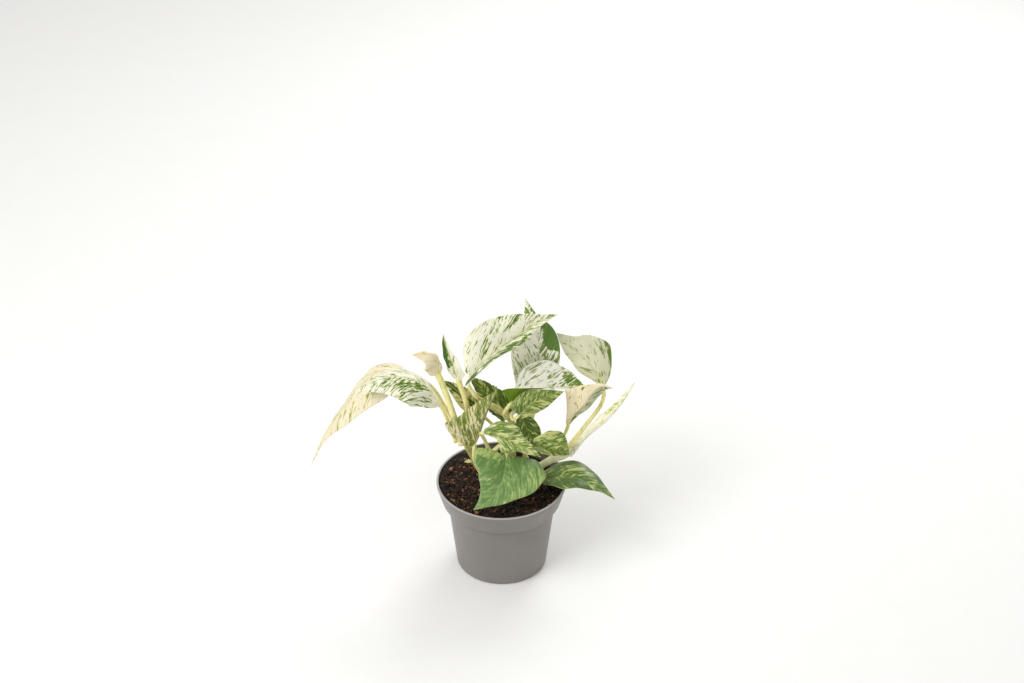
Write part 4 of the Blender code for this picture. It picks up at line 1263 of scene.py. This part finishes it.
class POTHOS_OT_stems(bpy.types.Operator):
    """Grow the rooted stems with their joints"""
    bl_idname = "pothos.stems"
    bl_label = "Stems"

    def execute(self, context):
        colours = context.scene.pothos_stems
        skin = stalk_material("stem_skin", colours.stem, colours.stem, 140.0)
        # The pale stem's skin: its own paler colour, painted lighter still against the shade a leaf casts on
        # it.
        pale = stalk_material("pale_stem_skin", colours.pale_stem_painted_lighter, colours.pale_stem_painted_lighter, 140.0)
        for name, stem in STEMS.items():
            make_stem(name, stem, pale if stem.get("pale") else skin)
        return {"FINISHED"}


class POTHOS_OT_stalks(bpy.types.Operator):
    """Grow each leaf's stalk up to its blade and on under its rib"""
    bl_idname = "pothos.stalks"
    bl_label = "Leaf stalks"

    def execute(self, context):
        colours, sizes = context.scene.pothos_stems, context.scene.pothos_leaves
        material = stalk_material("stalk_skin", colours.stalk_foot, colours.stalk_top)
        for name, stalk in STALKS.items():
            make_stalk(name, stalk, LEAVES[name], sizes, material)
        return {"FINISHED"}


class POTHOS_OT_blades(bpy.types.Operator):
    """Shape every open leaf blade and marble it"""
    bl_idname = "pothos.blades"
    bl_label = "Leaf blades"

    def execute(self, context):
        marbling_group()
        spot_group()
        for name, leaf in LEAVES.items():
            make_blade(name, leaf, context.scene.pothos_leaves)
        return {"FINISHED"}


class POTHOS_OT_spear(bpy.types.Operator):
    """Roll up the newest leaf"""
    bl_idname = "pothos.spear"
    bl_label = "Rolled leaf"

    def execute(self, context):
        make_spear(context.scene.pothos_leaves)
        return {"FINISHED"}


FLOOR_REACH = 4.0         # half the floor's width, in metres
CAMERA_AIM = Vector((0.00969, 0.0, 0.2425))
LIGHT_AIM = Vector((0.0, 0.0, SOIL_TOP + 0.05))
LIGHTS = {
    "key": dict(place=(-0.9, -0.75, 1.3), power=15.0, size=0.9),
    "back": dict(place=(0.5, 1.1, 1.1), power=10.0, size=0.8),
}
ROOM_COLOUR = srgb(250, 249, 246)
ROOM_STRENGTH = 0.64


def lay_floor(colour):
    """A plain pale floor with a faint drift of tone."""
    floor = add_grid("floor", 4, 4)
    write_points(floor.data, read_points(floor.data) * FLOOR_REACH)
    material, tree, shader = new_material("floor")
    place = node(tree, "TexCoord").outputs["Object"]
    pale = use_group(tree, "Grain", {"Place": place, "Scale": 30.0, "Detail": 2.0, "Low": 0.2,
                                     "High": 0.8, "First": colour, "Second": scaled(colour, 0.985)})
    tree.links.new(pale["Colour"], shader.inputs["Base Color"])
    shader.inputs["Roughness"].default_value = 0.85
    floor.data.materials.append(material)


def light_room(scene):
    """Soft light all round, and a large lamp from the front left and one from behind."""
    world = bpy.data.worlds.new("soft_room")
    scene.world = world
    world.use_nodes = True
    background = world.node_tree.nodes["Background"]
    background.inputs["Color"].default_value = ROOM_COLOUR
    background.inputs["Strength"].default_value = ROOM_STRENGTH
    for name, lamp in LIGHTS.items():
        light = bpy.data.lights.new(name, "AREA")
        light.energy, light.size = lamp["power"], lamp["size"]
        ob = bpy.data.objects.new(name, light)
        scene.collection.objects.link(ob)
        ob.location = lamp["place"]
        ob.rotation_euler = (LIGHT_AIM - ob.location).to_track_quat("-Z", "Y").to_euler()


def set_camera(scene, stage):
    """The camera in front of the plant, looking down on it."""
    camera = bpy.data.cameras.new("camera")
    camera.lens = stage.lens
    ob = bpy.data.objects.new("camera", camera)
    scene.collection.objects.link(ob)
    back = Vector((0, -math.cos(stage.tilt), math.sin(stage.tilt)))
    ob.location = CAMERA_AIM + back * stage.distance
    ob.rotation_euler = (-back).to_track_quat("-Z", "Y").to_euler()
    scene.camera = ob


class POTHOS_OT_stage(bpy.types.Operator):
    """Lay the floor and set the lights and the camera"""
    bl_idname = "pothos.stage"
    bl_label = "Stage"

    def execute(self, context):
        stage = context.scene.pothos_stage
        lay_floor(stage.floor)
        light_room(context.scene)
        set_camera(context.scene, stage)
        context.scene.view_settings.view_transform = "Standard"
        return {"FINISHED"}


class POTHOS_PT_panel(bpy.types.Panel):
    """The plant's pieces, in the order in which they are built"""
    bl_idname = "POTHOS_PT_panel"
    bl_label = "Potted pothos"
    bl_space_type = "VIEW_3D"
    bl_region_type = "UI"
    bl_category = "Pothos"

    def draw(self, context):
        for operator in OPERATORS:
            self.layout.operator(operator.bl_idname)


OPERATORS = (POTHOS_OT_pot, POTHOS_OT_soil, POTHOS_OT_stems, POTHOS_OT_stalks, POTHOS_OT_blades,
             POTHOS_OT_spear, POTHOS_OT_stage)
SETTINGS = {"pothos_pot": PothosPot, "pothos_leaves": PothosLeaves, "pothos_stems": PothosStems,
            "pothos_soil": PothosSoil, "pothos_stage": PothosStage}


def register():
    """Makes the settings, the operators and the panel known."""
    for group in SETTINGS.values():
        bpy.utils.register_class(group)
    for name, group in SETTINGS.items():
        setattr(bpy.types.Scene, name, PointerProperty(type=group))
    for operator in OPERATORS:
        bpy.utils.register_class(operator)
    bpy.utils.register_class(POTHOS_PT_panel)


def unregister():
    """Takes back what register has made known."""
    bpy.utils.unregister_class(POTHOS_PT_panel)
    for operator in OPERATORS:
        bpy.utils.unregister_class(operator)
    for name, group in SETTINGS.items():
        delattr(bpy.types.Scene, name)
        bpy.utils.unregister_class(group)


def main():
    """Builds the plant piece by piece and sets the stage."""
    register()
    grain_group()
    bpy.ops.pothos.pot()
    bpy.ops.pothos.soil()
    bpy.ops.pothos.stems()
    bpy.ops.pothos.stalks()
    bpy.ops.pothos.blades()
    bpy.ops.pothos.spear()
    bpy.ops.pothos.stage()


if __name__ == "__main__":
    main()
